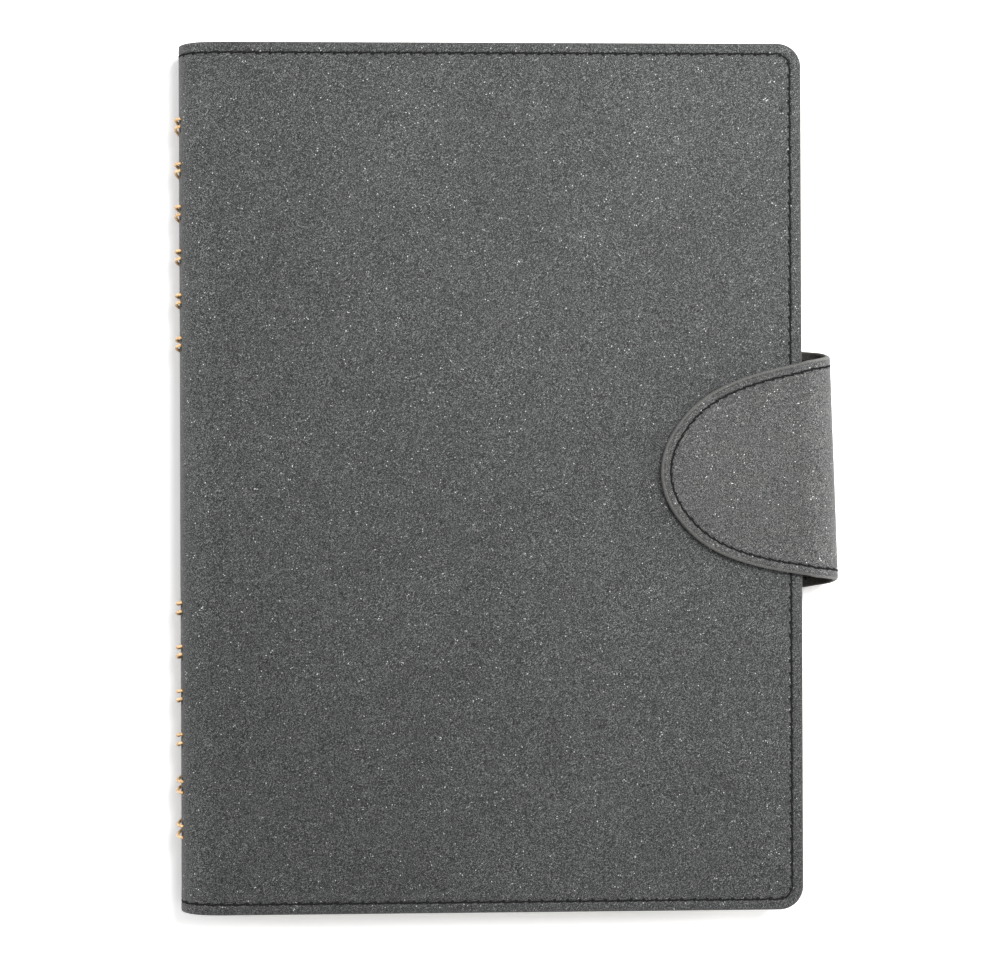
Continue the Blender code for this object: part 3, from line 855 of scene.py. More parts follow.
@dataclass(frozen=True)
class SmoothLining:
    """Thin dark lining with a close pebble and a faint satin."""

    name: str = "black_lining_leather"
    ground: tuple[float, float, float] = (0.021, 0.020, 0.0195)
    crest: tuple[float, float, float] = (0.052, 0.050, 0.047)
    edge: tuple[float, float, float] = (0.195, 0.188, 0.18)

    def make(self) -> bpy.types.Material:
        """Build the lining's shader.

        Returns:
            The finished material.
        """
        bench = NodeBench(self.name)
        pebble = bench.cells(1500.0, "SMOOTH_F1").outputs["Distance"]
        fine = bench.noise(3000.0, 3.0, 0.6)
        broad = bench.noise(60.0, 3.0, 0.5)
        colour = bench.mix(bench.ramp(pebble, 0.05, 0.5), self.crest, self.ground)
        wear_and_highlight = bench.times(bench.ramp(broad, 0.4, 0.7), 0.4)
        colour = bench.mix(wear_and_highlight, colour, self.crest)
        colour = bench.mix(bench.times(bench.mark("edge"), 0.8, True), colour, self.edge)
        bench.put(bench.shader.inputs["Base Color"], colour)
        rough = bench.plus(bench.times(fine, 0.2), 0.5)
        bench.put(bench.shader.inputs["Roughness"], rough)
        bench.shader.inputs["Specular IOR Level"].default_value = 0.4
        bench.put(bench.shader.inputs["Normal"], bench.bump(pebble, 0.35, 0.00006))
        return bench.material


@dataclass(frozen=True)
class SpunThread:
    """Sewing or lacing thread: fibres run with the twist, with wax or fuzz between."""

    name: str
    shade: tuple[float, float, float]
    light: tuple[float, float, float]
    roughness: float = 0.55
    scale: float = 4000.0
    sheen: float = 0.1
    specular: float = 0.5

    def make(self) -> bpy.types.Material:
        """Build the thread's shader.

        Returns:
            The finished material.
        """
        bench = NodeBench(self.name)
        fine = bench.noise(self.scale, 3.0, 0.6)
        broad = bench.noise(400.0, 2.0, 0.5)
        colour = bench.mix(bench.ramp(fine, 0.35, 0.65), self.shade, self.light)
        dirt = bench.times(bench.ramp(broad, 0.45, 0.7), 0.35)
        colour = bench.mix(dirt, colour, self.shade)
        bench.put(bench.shader.inputs["Base Color"], colour)
        bench.shader.inputs["Roughness"].default_value = self.roughness
        bench.shader.inputs["Sheen Weight"].default_value = self.sheen
        bench.shader.inputs["Specular IOR Level"].default_value = self.specular
        bench.put(bench.shader.inputs["Normal"], bench.bump(fine, 0.4, 0.00005))
        return bench.material


@dataclass(frozen=True)
class DyedBoard:
    """Grey board core whose cut edge is dyed dark to match the leather."""

    name: str = "edge_dyed_board"
    ground: tuple[float, float, float] = (0.068, 0.067, 0.066)
    fleck: tuple[float, float, float] = (0.18, 0.177, 0.168)

    def make(self) -> bpy.types.Material:
        """Build the board's shader: thin layers on edge with pale flecks.

        Returns:
            The finished material.
        """
        bench = NodeBench(self.name)
        layers = bench.noise(900.0, 3.0, 0.6, bench.stretched((1.0, 1.0, 7.0)))
        colour = bench.mix(bench.ramp(layers, 0.4, 0.7), self.ground, self.fleck)
        bench.put(bench.shader.inputs["Base Color"], colour)
        bench.shader.inputs["Roughness"].default_value = 0.85
        bench.put(bench.shader.inputs["Normal"], bench.bump(layers, 0.5, 0.0001))
        return bench.material


@dataclass(frozen=True)
class WritingPaper:
    """Uncoated cream paper with a faint tooth and slightly toned cut edges."""

    name: str = "cream_writing_paper"
    sheet: tuple[float, float, float] = (0.66, 0.605, 0.500)
    shade: tuple[float, float, float] = (0.58, 0.520, 0.415)

    def make(self) -> bpy.types.Material:
        """Build the paper's shader.

        Returns:
            The finished material.
        """
        bench = NodeBench(self.name)
        tooth = bench.noise(2500.0, 3.0, 0.6)
        broad = bench.noise(90.0, 2.0, 0.5)
        leaf = bench.noise(10000.0, 1.0, 0.5, bench.stretched((0.0004, 0.0004, 1.0)))
        mixed = bench.plus(bench.times(broad, 0.08), bench.times(leaf, 0.92))
        colour = bench.mix(bench.ramp(mixed, 0.35, 0.75), self.sheet, self.shade)
        bench.put(bench.shader.inputs["Base Color"], colour)
        bench.shader.inputs["Roughness"].default_value = 0.9
        bench.put(bench.shader.inputs["Normal"], bench.bump(tooth, 0.2, 0.00004))
        return bench.material


@dataclass(frozen=True)
class NickelDisc:
    """Nickel-plated magnet with a fine brushed face."""

    name: str = "nickel_plated_disc"
    shade: tuple[float, float, float] = (0.48, 0.46, 0.43)
    light: tuple[float, float, float] = (0.66, 0.64, 0.60)

    def make(self) -> bpy.types.Material:
        """Build the plating's shader.

        Returns:
            The finished material.
        """
        bench = NodeBench(self.name)
        brushed = bench.noise(3000.0, 2.0, 0.5, bench.stretched((0.05, 1.0, 1.0)))
        colour = bench.mix(brushed, self.shade, self.light)
        bench.put(bench.shader.inputs["Base Color"], colour)
        bench.shader.inputs["Metallic"].default_value = 1.0
        rough = bench.plus(bench.times(brushed, 0.2), 0.2)
        bench.put(bench.shader.inputs["Roughness"], rough)
        return bench.material


@dataclass
class Finishes:
    """Every finish of the book, made once."""

    leather: bpy.types.Material = field(
        default_factory=lambda: BondedLeather(
            "charcoal_bonded_leather",
            (0.0068, 0.0072, 0.0073),
            (0.0812, 0.0842, 0.0843),
            (0.219, 0.226, 0.221),
            (0.087, 0.085, 0.080),
        ).make()
    )
    tab_leather: bpy.types.Material = field(
        default_factory=lambda: BondedLeather(
            "charcoal_tab_leather",
            (0.0158, 0.0160, 0.0158),
            (0.1195, 0.1215, 0.1190),
            (0.262, 0.263, 0.257),
            (0.132, 0.130, 0.122),
            cloud=0.10,
            # painted light: a gentler brightening towards the head and fore edge on the tab
            painted_light_slope=0.6,
            # painted highlight: the tab's bends are painted paler
            fold=0.42,
            fuzz=0.8,
        ).make()
    )
    lining: bpy.types.Material = field(default_factory=lambda: SmoothLining().make())
    stitch: bpy.types.Material = field(
        default_factory=lambda: SpunThread(
            "black_stitch_thread",
            (0.0045, 0.0045, 0.0045),
            (0.012, 0.012, 0.012),
            0.8,
            sheen=0.0,
            specular=0.18,
        ).make()
    )
    lace: bpy.types.Material = field(
        default_factory=lambda: SpunThread(
            "natural_waxed_linen", (0.60, 0.360, 0.165), (0.97, 0.70, 0.40), 0.5, 2500.0
        ).make()
    )
    board: bpy.types.Material = field(default_factory=lambda: DyedBoard().make())
    paper: bpy.types.Material = field(default_factory=lambda: WritingPaper().make())
    nickel: bpy.types.Material = field(default_factory=lambda: NickelDisc().make())


@dataclass
class StitchRow:
    """Short thread stitches laid along a line, dipping into their holes at both ends."""

    pitch: float
    width: float = 0.46
    height: float = 0.42
    gap: float = 0.45
    slant: float = 0.36
    knot: float = 0.55
    knot_shift: float = 0.18
    leather_sink: float = 0.16
    lining_sink: float = 0.1
    rings: int = 9
    sides: int = 6

    def along(self, path: Array) -> tuple[Array, Array]:
        """Divide a line into stitches of nearly the pitch.

        Args:
            path: Points of the line, in two unrolled coordinates.

        Returns:
            Centre points along every stitch, and the direction of each.
        """
        steps = np.linalg.norm(np.diff(path, axis=0), axis=1)
        length = np.concatenate(([0.0], np.cumsum(steps)))
        count = max(int(round(length[-1] / self.pitch)), 1)
        starts = np.arange(count) * length[-1] / count
        share = np.linspace(0.0, 1.0, self.rings)
        span = length[-1] / count - self.gap
        at = starts[:, None] + self.gap / 2.0 + share * span
        points = np.stack([np.interp(at, length, path[:, k]) for k in (0, 1)], axis=-1)
        ahead = np.gradient(points, axis=1)
        ahead /= np.maximum(np.linalg.norm(ahead, axis=-1, keepdims=True), 1e-9)
        return points, ahead

    def tubes(self, rings: int, count: int) -> Array:
        """Quads of equal closed tubes, with two quads across each six-sided end.

        Args:
            rings: Rings of points in one tube.
            count: Number of tubes.

        Returns:
            An array of quads.
        """
        size = rings * self.sides
        first = np.array([[0, 5, 4, 3], [0, 3, 2, 1]])
        last = size - self.sides + np.array([[0, 1, 2, 3], [0, 3, 4, 5]])
        one = np.concatenate((grid_quads(rings, self.sides, around=True), first, last))
        return (one[None] + (np.arange(count) * size)[:, None, None]).reshape(-1, 4)

    def mesh(self, path: Array, outward: float) -> tuple[Array, Array]:
        """Unrolled points and quads of the stitches along a line.

        Each stitch is a tube whose radius fades by sqrt(1 - 0.93*t^6) and whose middle
        sinks by 0.3*t^4 towards its ends, with t in -1..1 along it.

        Args:
            path: Points of the line, in two unrolled coordinates.
            outward: -1 where the stitches rise to smaller depth, 1 where to greater.

        Returns:
            Points as (s, y, depth under the surface that carries them), and quads.
        """
        points, ahead = self.along(path)
        t = np.linspace(-1.0, 1.0, self.rings)
        fade = np.sqrt(1.0 - 0.93 * t**6)
        sink = 0.30 * t**4
        angle = np.arange(self.sides) * math.tau / self.sides
        aside = np.stack((-ahead[..., 1], ahead[..., 0]), axis=-1)
        wide = self.width / 2.0 * fade[None, :, None] * np.cos(angle)
        tall = self.height / 2.0 * fade[None, :, None] * np.sin(angle)
        shift = self.slant * t[None, :, None] / 2.0
        flat = points[:, :, None, :] + aside[:, :, None, :] * (wide + shift)[..., None]
        rise = tall - sink[None, :, None] + 0.02
        depth = np.broadcast_to(outward * rise, flat.shape[:-1])
        cloud = np.concatenate((flat, depth[..., None]), axis=-1).reshape(-1, 3)
        quads = self.tubes(self.rings, len(points))
        centres = points[:, 0] - ahead[:, 0] * self.gap / 2.0 + aside[:, 0] * self.knot_shift
        knots, faces = self.knots(centres, outward)
        return np.concatenate((cloud, knots)), np.concatenate((quads, faces + len(cloud)))

    def knots(self, centres: Array, outward: float) -> tuple[Array, Array]:
        """The thread's dark knots in the needle holes: one low dome at each.

        Args:
            centres: Where the needle went through, unrolled.
            outward: -1 where the thread rises to smaller depth, 1 where to greater.

        Returns:
            Points as (s, y, depth under the surface that carries them), and quads.
        """
        angle = np.arange(self.sides) * math.tau / self.sides
        around = np.column_stack((np.cos(angle), np.sin(angle)))
        radii = np.array([0.02, self.knot - 0.02, self.knot, 0.02])
        rise = np.array([0.20, 0.15, -0.20, -0.24])
        flat = centres[:, None, None] + radii[:, None, None] * around
        depth = np.broadcast_to((outward * rise)[None, :, None], flat.shape[:-1])
        cloud = np.concatenate((flat, depth[..., None]), axis=-1)
        return cloud.reshape(-1, 3), self.tubes(len(radii), len(centres))

    def sew(
        self,
        name: str,
        lines: Sequence[Array],
        place: Callable[[Array, Array, Array], Array],
        lining_face: Callable[[Array, Array], Array],
        thread: bpy.types.Material,
    ) -> bpy.types.Object:
        """Lay the stitches of some lines on the leather, and again on the lining.

        On either face they lie a little under the surface, in the furrow that they pull.

        Args:
            name: Name of the piece.
            lines: Lines to sew, in two unrolled coordinates.
            place: Folds unrolled points into the book.
            lining_face: Depth of the lining's seen face at unrolled points.
            thread: Material of the thread.

        Returns:
            The stitches as one piece.
        """
        clouds, faces, first = [], [], 0
        for line in lines:
            for outward in (-1.0, 1.0):
                cloud, quads = self.mesh(line, outward)
                s, y, depth = cloud[:, 0], cloud[:, 1], cloud[:, 2]
                if outward < 0.0:
                    face = self.leather_sink
                else:
                    face = lining_face(s, y) - self.lining_sink
                clouds.append(place(s, y, depth + face))
                faces.append(quads + first)
                first += len(cloud)
        return solid_piece(name, np.concatenate(clouds), np.concatenate(faces), thread)


@dataclass
class CoverWrap:
    """The cover's sheets: leather and lining, each made in two halves that meet mid-spine."""

    sizes: BookSizes
    finishes: Finishes
    pitch: float = 3.2
    roll: float = 0.42
    furrow_depth: float = 0.2
    slit_depth: float = 0.4
    back_swell: float = 0.4

    def leather(self, side: Side) -> bpy.types.Object:
        """Outer leather of one half.

        The outer face falls away in a quarter circle at the cut edge, dips in a
        bell-shaped furrow under the stitches and in a bell at each slit of the lacing, and
        swells by two sums of sines that fade in over 8 mm from the edge. The inner face is
        smooth and lies on the stiffener.

        Args:
            side: The half to make.

        Returns:
            The leather as one closed sheet.
        """
        half = WrapHalf(self.sizes, side)
        s, y = half.outer_grid(Ply.LEATHER)
        edge = half.edge_distance(s, y, 0.0, self.sizes.corner)
        seam = half.seam_distance(s, y)
        roll = self.roll
        near = np.clip(edge, 0.0, roll)
        rolled = roll - np.sqrt(np.maximum(roll**2 - (roll - near) ** 2, 0.0))
        furrow = bell(seam, 0.38)
        slit = half.lace_gap(s, y)
        slow_seed, fine_seed = (11, 21) if side is Side.FRONT else (12, 22)
        uneven = soft_noise(s, y, slow_seed, 42.0)
        fine = soft_noise(s, y, fine_seed, 9.0)
        panel = smoothstep(edge / 8.0)
        swell = (0.05 * uneven + 0.02 * fine) * panel + 0.05 * panel
        lift = bell(seam - 1.0, 0.7) * 0.03
        if side is Side.BACK:
            swell, lift = self.back_swell * swell, np.zeros_like(lift)
        depth = rolled + self.furrow_depth * furrow + swell - lift + self.slit_depth * slit
        top = half.place(s, y, depth)
        bottom = half.place(s, y, np.full_like(s, self.sizes.leather))
        # pale cut edge, partly a painted edge highlight
        rim = bell(edge, 0.35)
        # painted highlight: the mark that paints the spine's bend paler
        share = np.clip((s - self.sizes.half_wall) / (self.sizes.arc + 2.0), 0.0, 1.0)
        fold = np.sin(math.pi * share)
        # painted shade: dark in the stitch furrow and in the lacing slits
        dark = np.maximum(0.6 * bell(seam, 0.17), 1.3 * slit)
        marks = {
            "edge": np.stack((rim, rim)),
            "fold": np.stack((fold, fold)),
            "furrow": np.stack((dark, np.zeros_like(dark))),
        }
        return solid_piece(
            f"leather_wrap_{side.value}",
            np.stack((top, bottom)),
            shell_quads(*s.shape),
            self.finishes.leather,
            marks,
        )

    def lining_depth(self, s: Array) -> Array:
        """Depth of the lining's hidden face: thin over the spine, then up onto the board.

        Args:
            s: Unrolled distance from mid-spine.

        Returns:
            Depths under the leather's outer face.
        """
        b = self.sizes
        share = smoothstep((s - (b.half_wall + b.arc)) / b.ramp)
        return b.thin_lining + (b.full_lining - b.thin_lining) * share

    def lining(self, side: Side) -> bpy.types.Object:
        """Lining of one half, with a soft step where the stiffener starts.

        Its seen face falls by a bell of 0.12 mm towards the cut edge.

        Args:
            side: The half to make.

        Returns:
            The lining as one closed sheet.
        """
        half = WrapHalf(self.sizes, side)
        s, y = half.outer_grid(Ply.LINING)
        hidden = self.lining_depth(s)
        edge = half.edge_distance(s, y, 0.0, self.sizes.corner)
        rim = bell(edge, 0.3)
        seen = hidden + self.sizes.lining - 0.12 * rim
        return solid_piece(
            f"lining_wrap_{side.value}",
            np.stack((half.place(s, y, hidden), half.place(s, y, seen))),
            shell_quads(*s.shape),
            self.finishes.lining,
            {"edge": np.stack((rim, rim))},
        )

    def seam_path(self) -> Array:
        """The stitch line of one half, unrolled: tail, fore edge and head.

        Returns:
            Points as unrolled distance and height.
        """
        b = self.sizes
        far, high = b.length - b.seam_fore_inset, b.half_height - b.seam_inset
        turn = np.radians(np.linspace(0.0, 90.0, 10))
        r = b.seam_corner
        low = np.column_stack((far - r + r * np.sin(turn), -high + r - r * np.cos(turn)))
        up = low[::-1] * (1.0, -1.0)
        return np.vstack(([(0.1, -high)], low, up, [(0.1, high)]))

    def stitches(self, side: Side, tab_span: tuple[float, float] | None) -> bpy.types.Object:
        """Edge stitches of one half, on the leather and again on the lining.

        Args:
            side: The half to sew.
            tab_span: Low and high y of the tab's root, where the row is left open.

        Returns:
            The stitches as one piece.
        """
        half = WrapHalf(self.sizes, side)
        path = self.seam_path()
        paths = [path]
        if tab_span is not None:
            far = self.sizes.length - self.sizes.seam_fore_inset
            cut = len(path) // 2
            paths = [
                np.vstack((path[:cut], [(far, tab_span[0])])),
                np.vstack(([(far, tab_span[1])], path[cut:])),
            ]
        return StitchRow(self.pitch).sew(
            f"edge_stitches_{side.value}",
            paths,
            half.place,
            lambda s, y: self.lining_depth(s) + self.sizes.lining,
            self.finishes.stitch,
        )

    def blend(self, piece: bpy.types.Object, side: Side) -> None:
        """Bake a piece of one half into place; the ends of its spine fold are worked out and not
        used.

        Args:
            piece: The piece to bake.
            side: The half that it belongs to.
        """
        b = self.sizes
        if side is Side.BACK:
            start, end = (b.bend_x, 0.0, 0.0), (b.spine_x, 0.0, b.bend)
        else:
            start = (b.spine_x, 0.0, b.top - b.bend)
            end = (b.bend_x, 0.0, b.top)
        tuple(v * MM for v in start)
        tuple(v * MM for v in end)
        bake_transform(piece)

    def build(self, tab_span: tuple[float, float]) -> None:
        """Make both halves, bake their placement and hide the plain sheets.

        Args:
            tab_span: Low and high y where the tab's stitches join the back's.
        """
        for side in Side:
            leather = self.leather(side)
            lining = self.lining(side)
            stitches = self.stitches(side, tab_span if side is Side.BACK else None)
            for piece in (leather, lining, stitches):
                self.blend(piece, side)
            if side is Side.BACK:
                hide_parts("leather_back", "leather_bend_back")
                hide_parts("lining_back", "lining_bend_back")
                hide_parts("seam_back_head", "seam_back_tail")
            else:
                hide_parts("leather_front", "leather_bend_front", "leather_spine")
                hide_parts("lining_front", "lining_bend_front", "lining_spine")
                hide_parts("seam_front", "seam_spine_head", "seam_spine_tail")


@dataclass
class MagneticTab:
    """The tab: a root under the fore edge, two bends with a short upright, and the flap."""

    sizes: BookSizes
    finishes: Finishes
    bend: float = 7.0
    root_half: float = 30.5
    flap_half: float = 27.2
    seam_inset: float = 2.4
    crease_inset: float = 0.80
    ramp: float = 2.5
    outline: tuple[tuple[float, float], ...] = (
        (0.0, 27.2),
        (2.4, 26.55),
        (9.8, 25.1),
        (17.3, 23.0),
        (24.0, 20.1),
        (29.5, 16.2),
        (34.0, 10.9),
        (36.7, 5.5),
        (37.6, 0.0),
    )
    axis_point: Array = field(init=False)
    tilt: float = field(init=False)
    top: float = field(init=False)

    def __post_init__(self) -> None:
        """Read the folds' axes from the frame."""
        joints = {j["name"]: j for j in frame["joints"]}
        base = joints["tab_base_fold"]
        self.axis_point = np.array(base["pos_m"], float) / MM
        self.tilt = math.atan2(-base["axis"][0], base["axis"][1])
        self.top = in_mm("leather_flap")[1, 2]

    @property
    def upper_axis(self) -> float:
        """Height of the upper fold's axis."""
        return self.top - self.bend

    @property
    def arc(self) -> float:
        """Length of one bend on its outer face."""
        return self.bend * math.pi / 2.0

    @property
    def wall(self) -> float:
        """Height of the upright part."""
        return self.upper_axis - self.bend

    @property
    def to_flap(self) -> float:
        """Unrolled length from the first bend to the start of the flap."""
        return 2.0 * self.arc + self.wall

    def place(self, t: Array, v: Array, depth: Array) -> Array:
        """Fold unrolled points into the tab.

        The path runs out flat, up a quarter circle, up the wall, back over a second
        quarter circle and in over the front cover; depth is measured inwards from it.

        Args:
            t: Unrolled distance, 0 at the start of the first bend.
            v: Distance across the tab.
            depth: Depth under the outer face.

        Returns:
            Points in the book.
        """
        t, v, depth = np.broadcast_arrays(t, v, depth)
        first = np.clip(t / self.bend, 0.0, math.pi / 2.0)
        climb = np.clip(t - self.arc, 0.0, self.wall)
        second = np.clip((t - self.arc - self.wall) / self.bend, 0.0, math.pi / 2.0)
        angle = first + second
        radius = self.bend - depth
        out = np.minimum(t, 0.0) - np.maximum(t - self.to_flap, 0.0)
        x = out + radius * np.sin(angle)
        z = self.bend + climb - radius * np.cos(angle)
        c, s = math.cos(self.tilt), math.sin(self.tilt)
        ax, ay = self.axis_point[0], self.axis_point[1]
        return np.stack((ax + c * x - s * v, ay + s * x + c * v, z), axis=-1)

    def half_outline(self) -> Array:
        """Half of the unrolled outline, evenly spaced, from the flap's start to its nose.

        A Catmull-Rom curve through the listed points, with u along and w across the flap.

        Returns:
            Points as distance past the bend and half width.
        """
        p = np.asarray(self.outline, float)
        p = np.vstack((p[:1] * 2 - p[1], p, p[-2] * (1.0, -1.0)))
        t = np.linspace(0.0, 1.0, 24, endpoint=False)[:, None]
        a, b, c, d = (p[k : len(p) - 3 + k, None, :] for k in range(4))
        square, cube = 2 * a - 5 * b + 4 * c - d, 3 * b - a - 3 * c + d
        curve = 0.5 * (2 * b + (c - a) * t + square * t**2 + cube * t**3)
        line = np.vstack((curve.reshape(-1, 2), p[-2:-1]))
        steps = np.linalg.norm(np.diff(line, axis=0), axis=1)
        length = np.concatenate(([0.0], np.cumsum(steps)))
        even = np.linspace(0.0, length[-1], 116)
        u = np.interp(even, length, line[:, 0])
        w = np.interp(even, length, line[:, 1])
        u = np.maximum.accumulate(u)
        return np.column_stack((u, np.where(even >= length[-1], 0.0, w)))

    def half_width(self, t: Array) -> Array:
        """Half the tab's width over the root and the bends."""
        share = np.clip(t / self.to_flap, -0.2, 1.0)
        return self.root_half + (self.flap_half - self.root_half) * share

    def fore_line(self, v: Array) -> Array:
        """Unrolled distance of the cover's straight fore edge, across the slanted tab."""
        c, s = math.cos(self.tilt), math.sin(self.tilt)
        return (self.sizes.fore_x - self.axis_point[0] + s * v) / c

    def rows(self, part: TabPart) -> tuple[Array, Array]:
        """Unrolled rows of one part and the half width at each.

        Args:
            part: Root with the first bend, or second bend with the flap.

        Returns:
            Distances and half widths.
        """
        middle = self.arc + self.wall / 2.0
        if part is TabPart.ROOT:
            flat = np.linspace(-1.0, 0.0, 7)
            bend = np.linspace(0.0, self.arc, 25)[1:]
            wall = np.linspace(self.arc, middle, 6)[1:]
            t = np.concatenate((flat, bend, wall))
            return t, self.half_width(np.maximum(t, 0.0))
        wall = np.linspace(middle, self.arc + self.wall, 6)
        bend = np.linspace(self.arc + self.wall, self.to_flap, 25)[1:]
        line = self.half_outline()
        t = np.concatenate((wall, bend, self.to_flap + line[1:, 0]))
        w = np.concatenate((self.half_width(wall), self.half_width(bend), line[1:, 1]))
        return t, w

    def columns(self) -> Array:
        """Shares across the tab, -1 to 1, close together near both edges."""
        half = graded_lines(self.flap_half, TAB_LINES, 1.0) / self.flap_half
        return np.concatenate((half - 1.0, 1.0 - half[-2::-1]))

    def grid(self, part: TabPart) -> tuple[Array, Array]:
        """Unrolled grid of one part.

        Args:
            part: The part that the grid is for.

        Returns:
            Unrolled distances along and across the tab.
        """
        t, w = self.rows(part)
        share = self.columns()
        v = w[:, None] * share
        t_grid = np.broadcast_to(t[:, None], v.shape).copy()
        if part is TabPart.ROOT:
            back = t_grid < 0.0
            t_grid = np.where(back, -t_grid * self.fore_line(v), t_grid)
        return t_grid, v

    def edge_distance(self, t: Array, v: Array) -> Array:
        """Distance inwards from the cut edge, to the nearest point of the outline.

        Args:
            t: Unrolled distance along the tab.
            v: Distance across the tab.

        Returns:
            Distances, never negative.
        """
        line = self.half_outline()
        dense = np.linspace(0.0, len(line) - 1.0, 700)
        u = np.interp(dense, np.arange(len(line)), line[:, 0]) + self.to_flap
        w = np.interp(dense, np.arange(len(line)), line[:, 1])
        side = np.linspace(-4.0, self.to_flap, 260)
        u = np.concatenate((side, u))
        w = np.concatenate((self.half_width(np.maximum(side, 0.0)), w))
        gap = np.full(t.shape, np.inf)
        batch = 120
        for low in range(0, len(u), batch):
            du = t[..., None] - u[low : low + batch]
            dw = np.abs(v)[..., None] - w[low : low + batch]
            gap = np.minimum(gap, np.sqrt((du**2 + dw**2).min(-1)))
        return gap

    def lining_depth(self, t: Array, v: Array) -> Array:
        """Depth of the lining's hidden face along the tab: board, bends, board.

        Args:
            t: Unrolled distance along the tab.
            v: Distance across the tab.

        Returns:
            Depths under the leather's outer face.
        """
        b = self.sizes
        fore = self.fore_line(v)
        leave = 1.0 - smoothstep((t - fore) / np.maximum(-fore - 0.2, 0.4))
        reach = smoothstep((t - self.to_flap) / self.ramp)
        return b.thin_lining + (b.full_lining - b.thin_lining) * np.maximum(leave, reach)

    def leather(self, part: TabPart) -> bpy.types.Object:
        """Outer leather of one part, with a rolled, creased and stitched edge.

        The edge falls by 0.48*(1 - e/0.75)^2.2 over its last 0.75 mm, a fine crease runs
        beside it, and the stitches lie in a furrow.

        Args:
            part: The part to make.

        Returns:
            The leather as one closed sheet.
        """
        t, v = self.grid(part)
        edge = self.edge_distance(t, v)
        fall = 0.48 * np.clip(1.0 - edge / 0.75, 0.0, 1.0) ** 2.2
        crease = 0.06 * bell(edge - self.crease_inset, 0.12)
        seam = np.abs(edge - self.seam_inset)
        swell = 0.03 * soft_noise(t, v, 31, 11.0) + 0.03
        on_flap = smoothstep((t - self.to_flap + 4.0) / 6.0)
        puff = -0.10 * smoothstep((edge - 2.8) / 5.0) * on_flap
        depth = fall + crease + 0.2 * bell(seam, 0.36) + swell * smoothstep(edge / 3.0) + puff
        # pale cut edge, partly a painted highlight on the rolled shoulder
        rim = bell(edge - 0.3, 0.3)
        # painted highlight: the mark that paints both of the tab's bends paler
        upper = np.clip((t - self.arc - self.wall + 1.0) / (self.arc + 3.0), 0.0, 1.0)
        lower = np.clip(t / self.arc, 0.0, 1.0)
        fold = np.sin(math.pi * upper) + np.sin(math.pi * lower)
        # painted shade: dark in the stitch furrow and in the crease beside the edge
        dark = np.maximum(0.6 * bell(seam, 0.17), 0.5 * bell(edge - self.crease_inset, 0.09))
        marks = {
            "edge": np.stack((rim, rim)),
            "fold": np.stack((fold, fold)),
            "furrow": np.stack((dark, np.zeros_like(dark))),
        }
        inner = np.full_like(t, self.sizes.leather)
        return solid_piece(
            f"leather_tab_{part.value}",
            np.stack((self.place(t, v, depth), self.place(t, v, inner))),
            shell_quads(*t.shape),
            self.finishes.tab_leather,
            marks,
        )

    def lining(self, part: TabPart) -> bpy.types.Object:
        """Lining of one part; it leaves the stiffener for the bends and meets it again.

        Args:
            part: The part to make.

        Returns:
            The lining as one closed sheet.
        """
        t, v = self.grid(part)
        hidden = self.lining_depth(t, v)
        edge = self.edge_distance(t, v)
        rim = bell(edge, 0.25)
        seen = hidden + self.sizes.lining - 0.1 * rim
        return solid_piece(
            f"lining_tab_{part.value}",
            np.stack((self.place(t, v, hidden), self.place(t, v, seen))),
            shell_quads(*t.shape),
            self.finishes.lining,
            {"edge": np.stack((rim, rim))},
        )

    def seam_path(self, part: TabPart) -> list[Array]:
        """Unrolled stitch lines of one part.

        Args:
            part: The part to sew.

        Returns:
            Each line as points along and across the tab.
        """
        inset = self.seam_inset
        middle = self.arc + self.wall / 2.0
        if part is TabPart.ROOT:
            t = np.linspace(-4.6, middle, 30)
            w = self.half_width(np.maximum(t, 0.0)) - inset
            return [np.column_stack((t, w)), np.column_stack((t, -w))]
        line = self.half_outline()
        ahead = np.gradient(line, axis=0)
        ahead /= np.linalg.norm(ahead, axis=1, keepdims=True)
        inner = line + inset * np.column_stack((ahead[:, 1], -ahead[:, 0]))
        inner[-1, 1] = 0.0
        inner = inner[inner[:, 1] >= 0.0]
        side_t = np.linspace(middle, self.to_flap, 20)[:-1]
        side = np.column_stack((side_t, self.half_width(side_t) - inset))
        upper = np.vstack((side, inner + (self.to_flap, 0.0)))
        return [np.vstack((upper, upper[-2::-1] * (1.0, -1.0)))]

    def stitches(self, part: TabPart) -> bpy.types.Object:
        """Stitches round one part, on both faces.

        Args:
            part: The part to sew.

        Returns:
            The stitches as one piece.
        """
        row = StitchRow(2.5, gap=0.4, knot=0.48, knot_shift=-0.08)
        return row.sew(
            f"tab_stitches_{part.value}",
            self.seam_path(part),
            self.place,
            lambda t, v: self.lining_depth(t, v) + self.sizes.lining,
            self.finishes.stitch,
        )

    def root_span(self) -> tuple[float, float]:
        """Low and high y where the tab's stitches join the cover's.

        Returns:
            Low and high y.
        """
        inset = self.root_half - self.seam_inset
        y = self.axis_point[1]
        return (y - inset - 0.1, y + inset - 0.1)

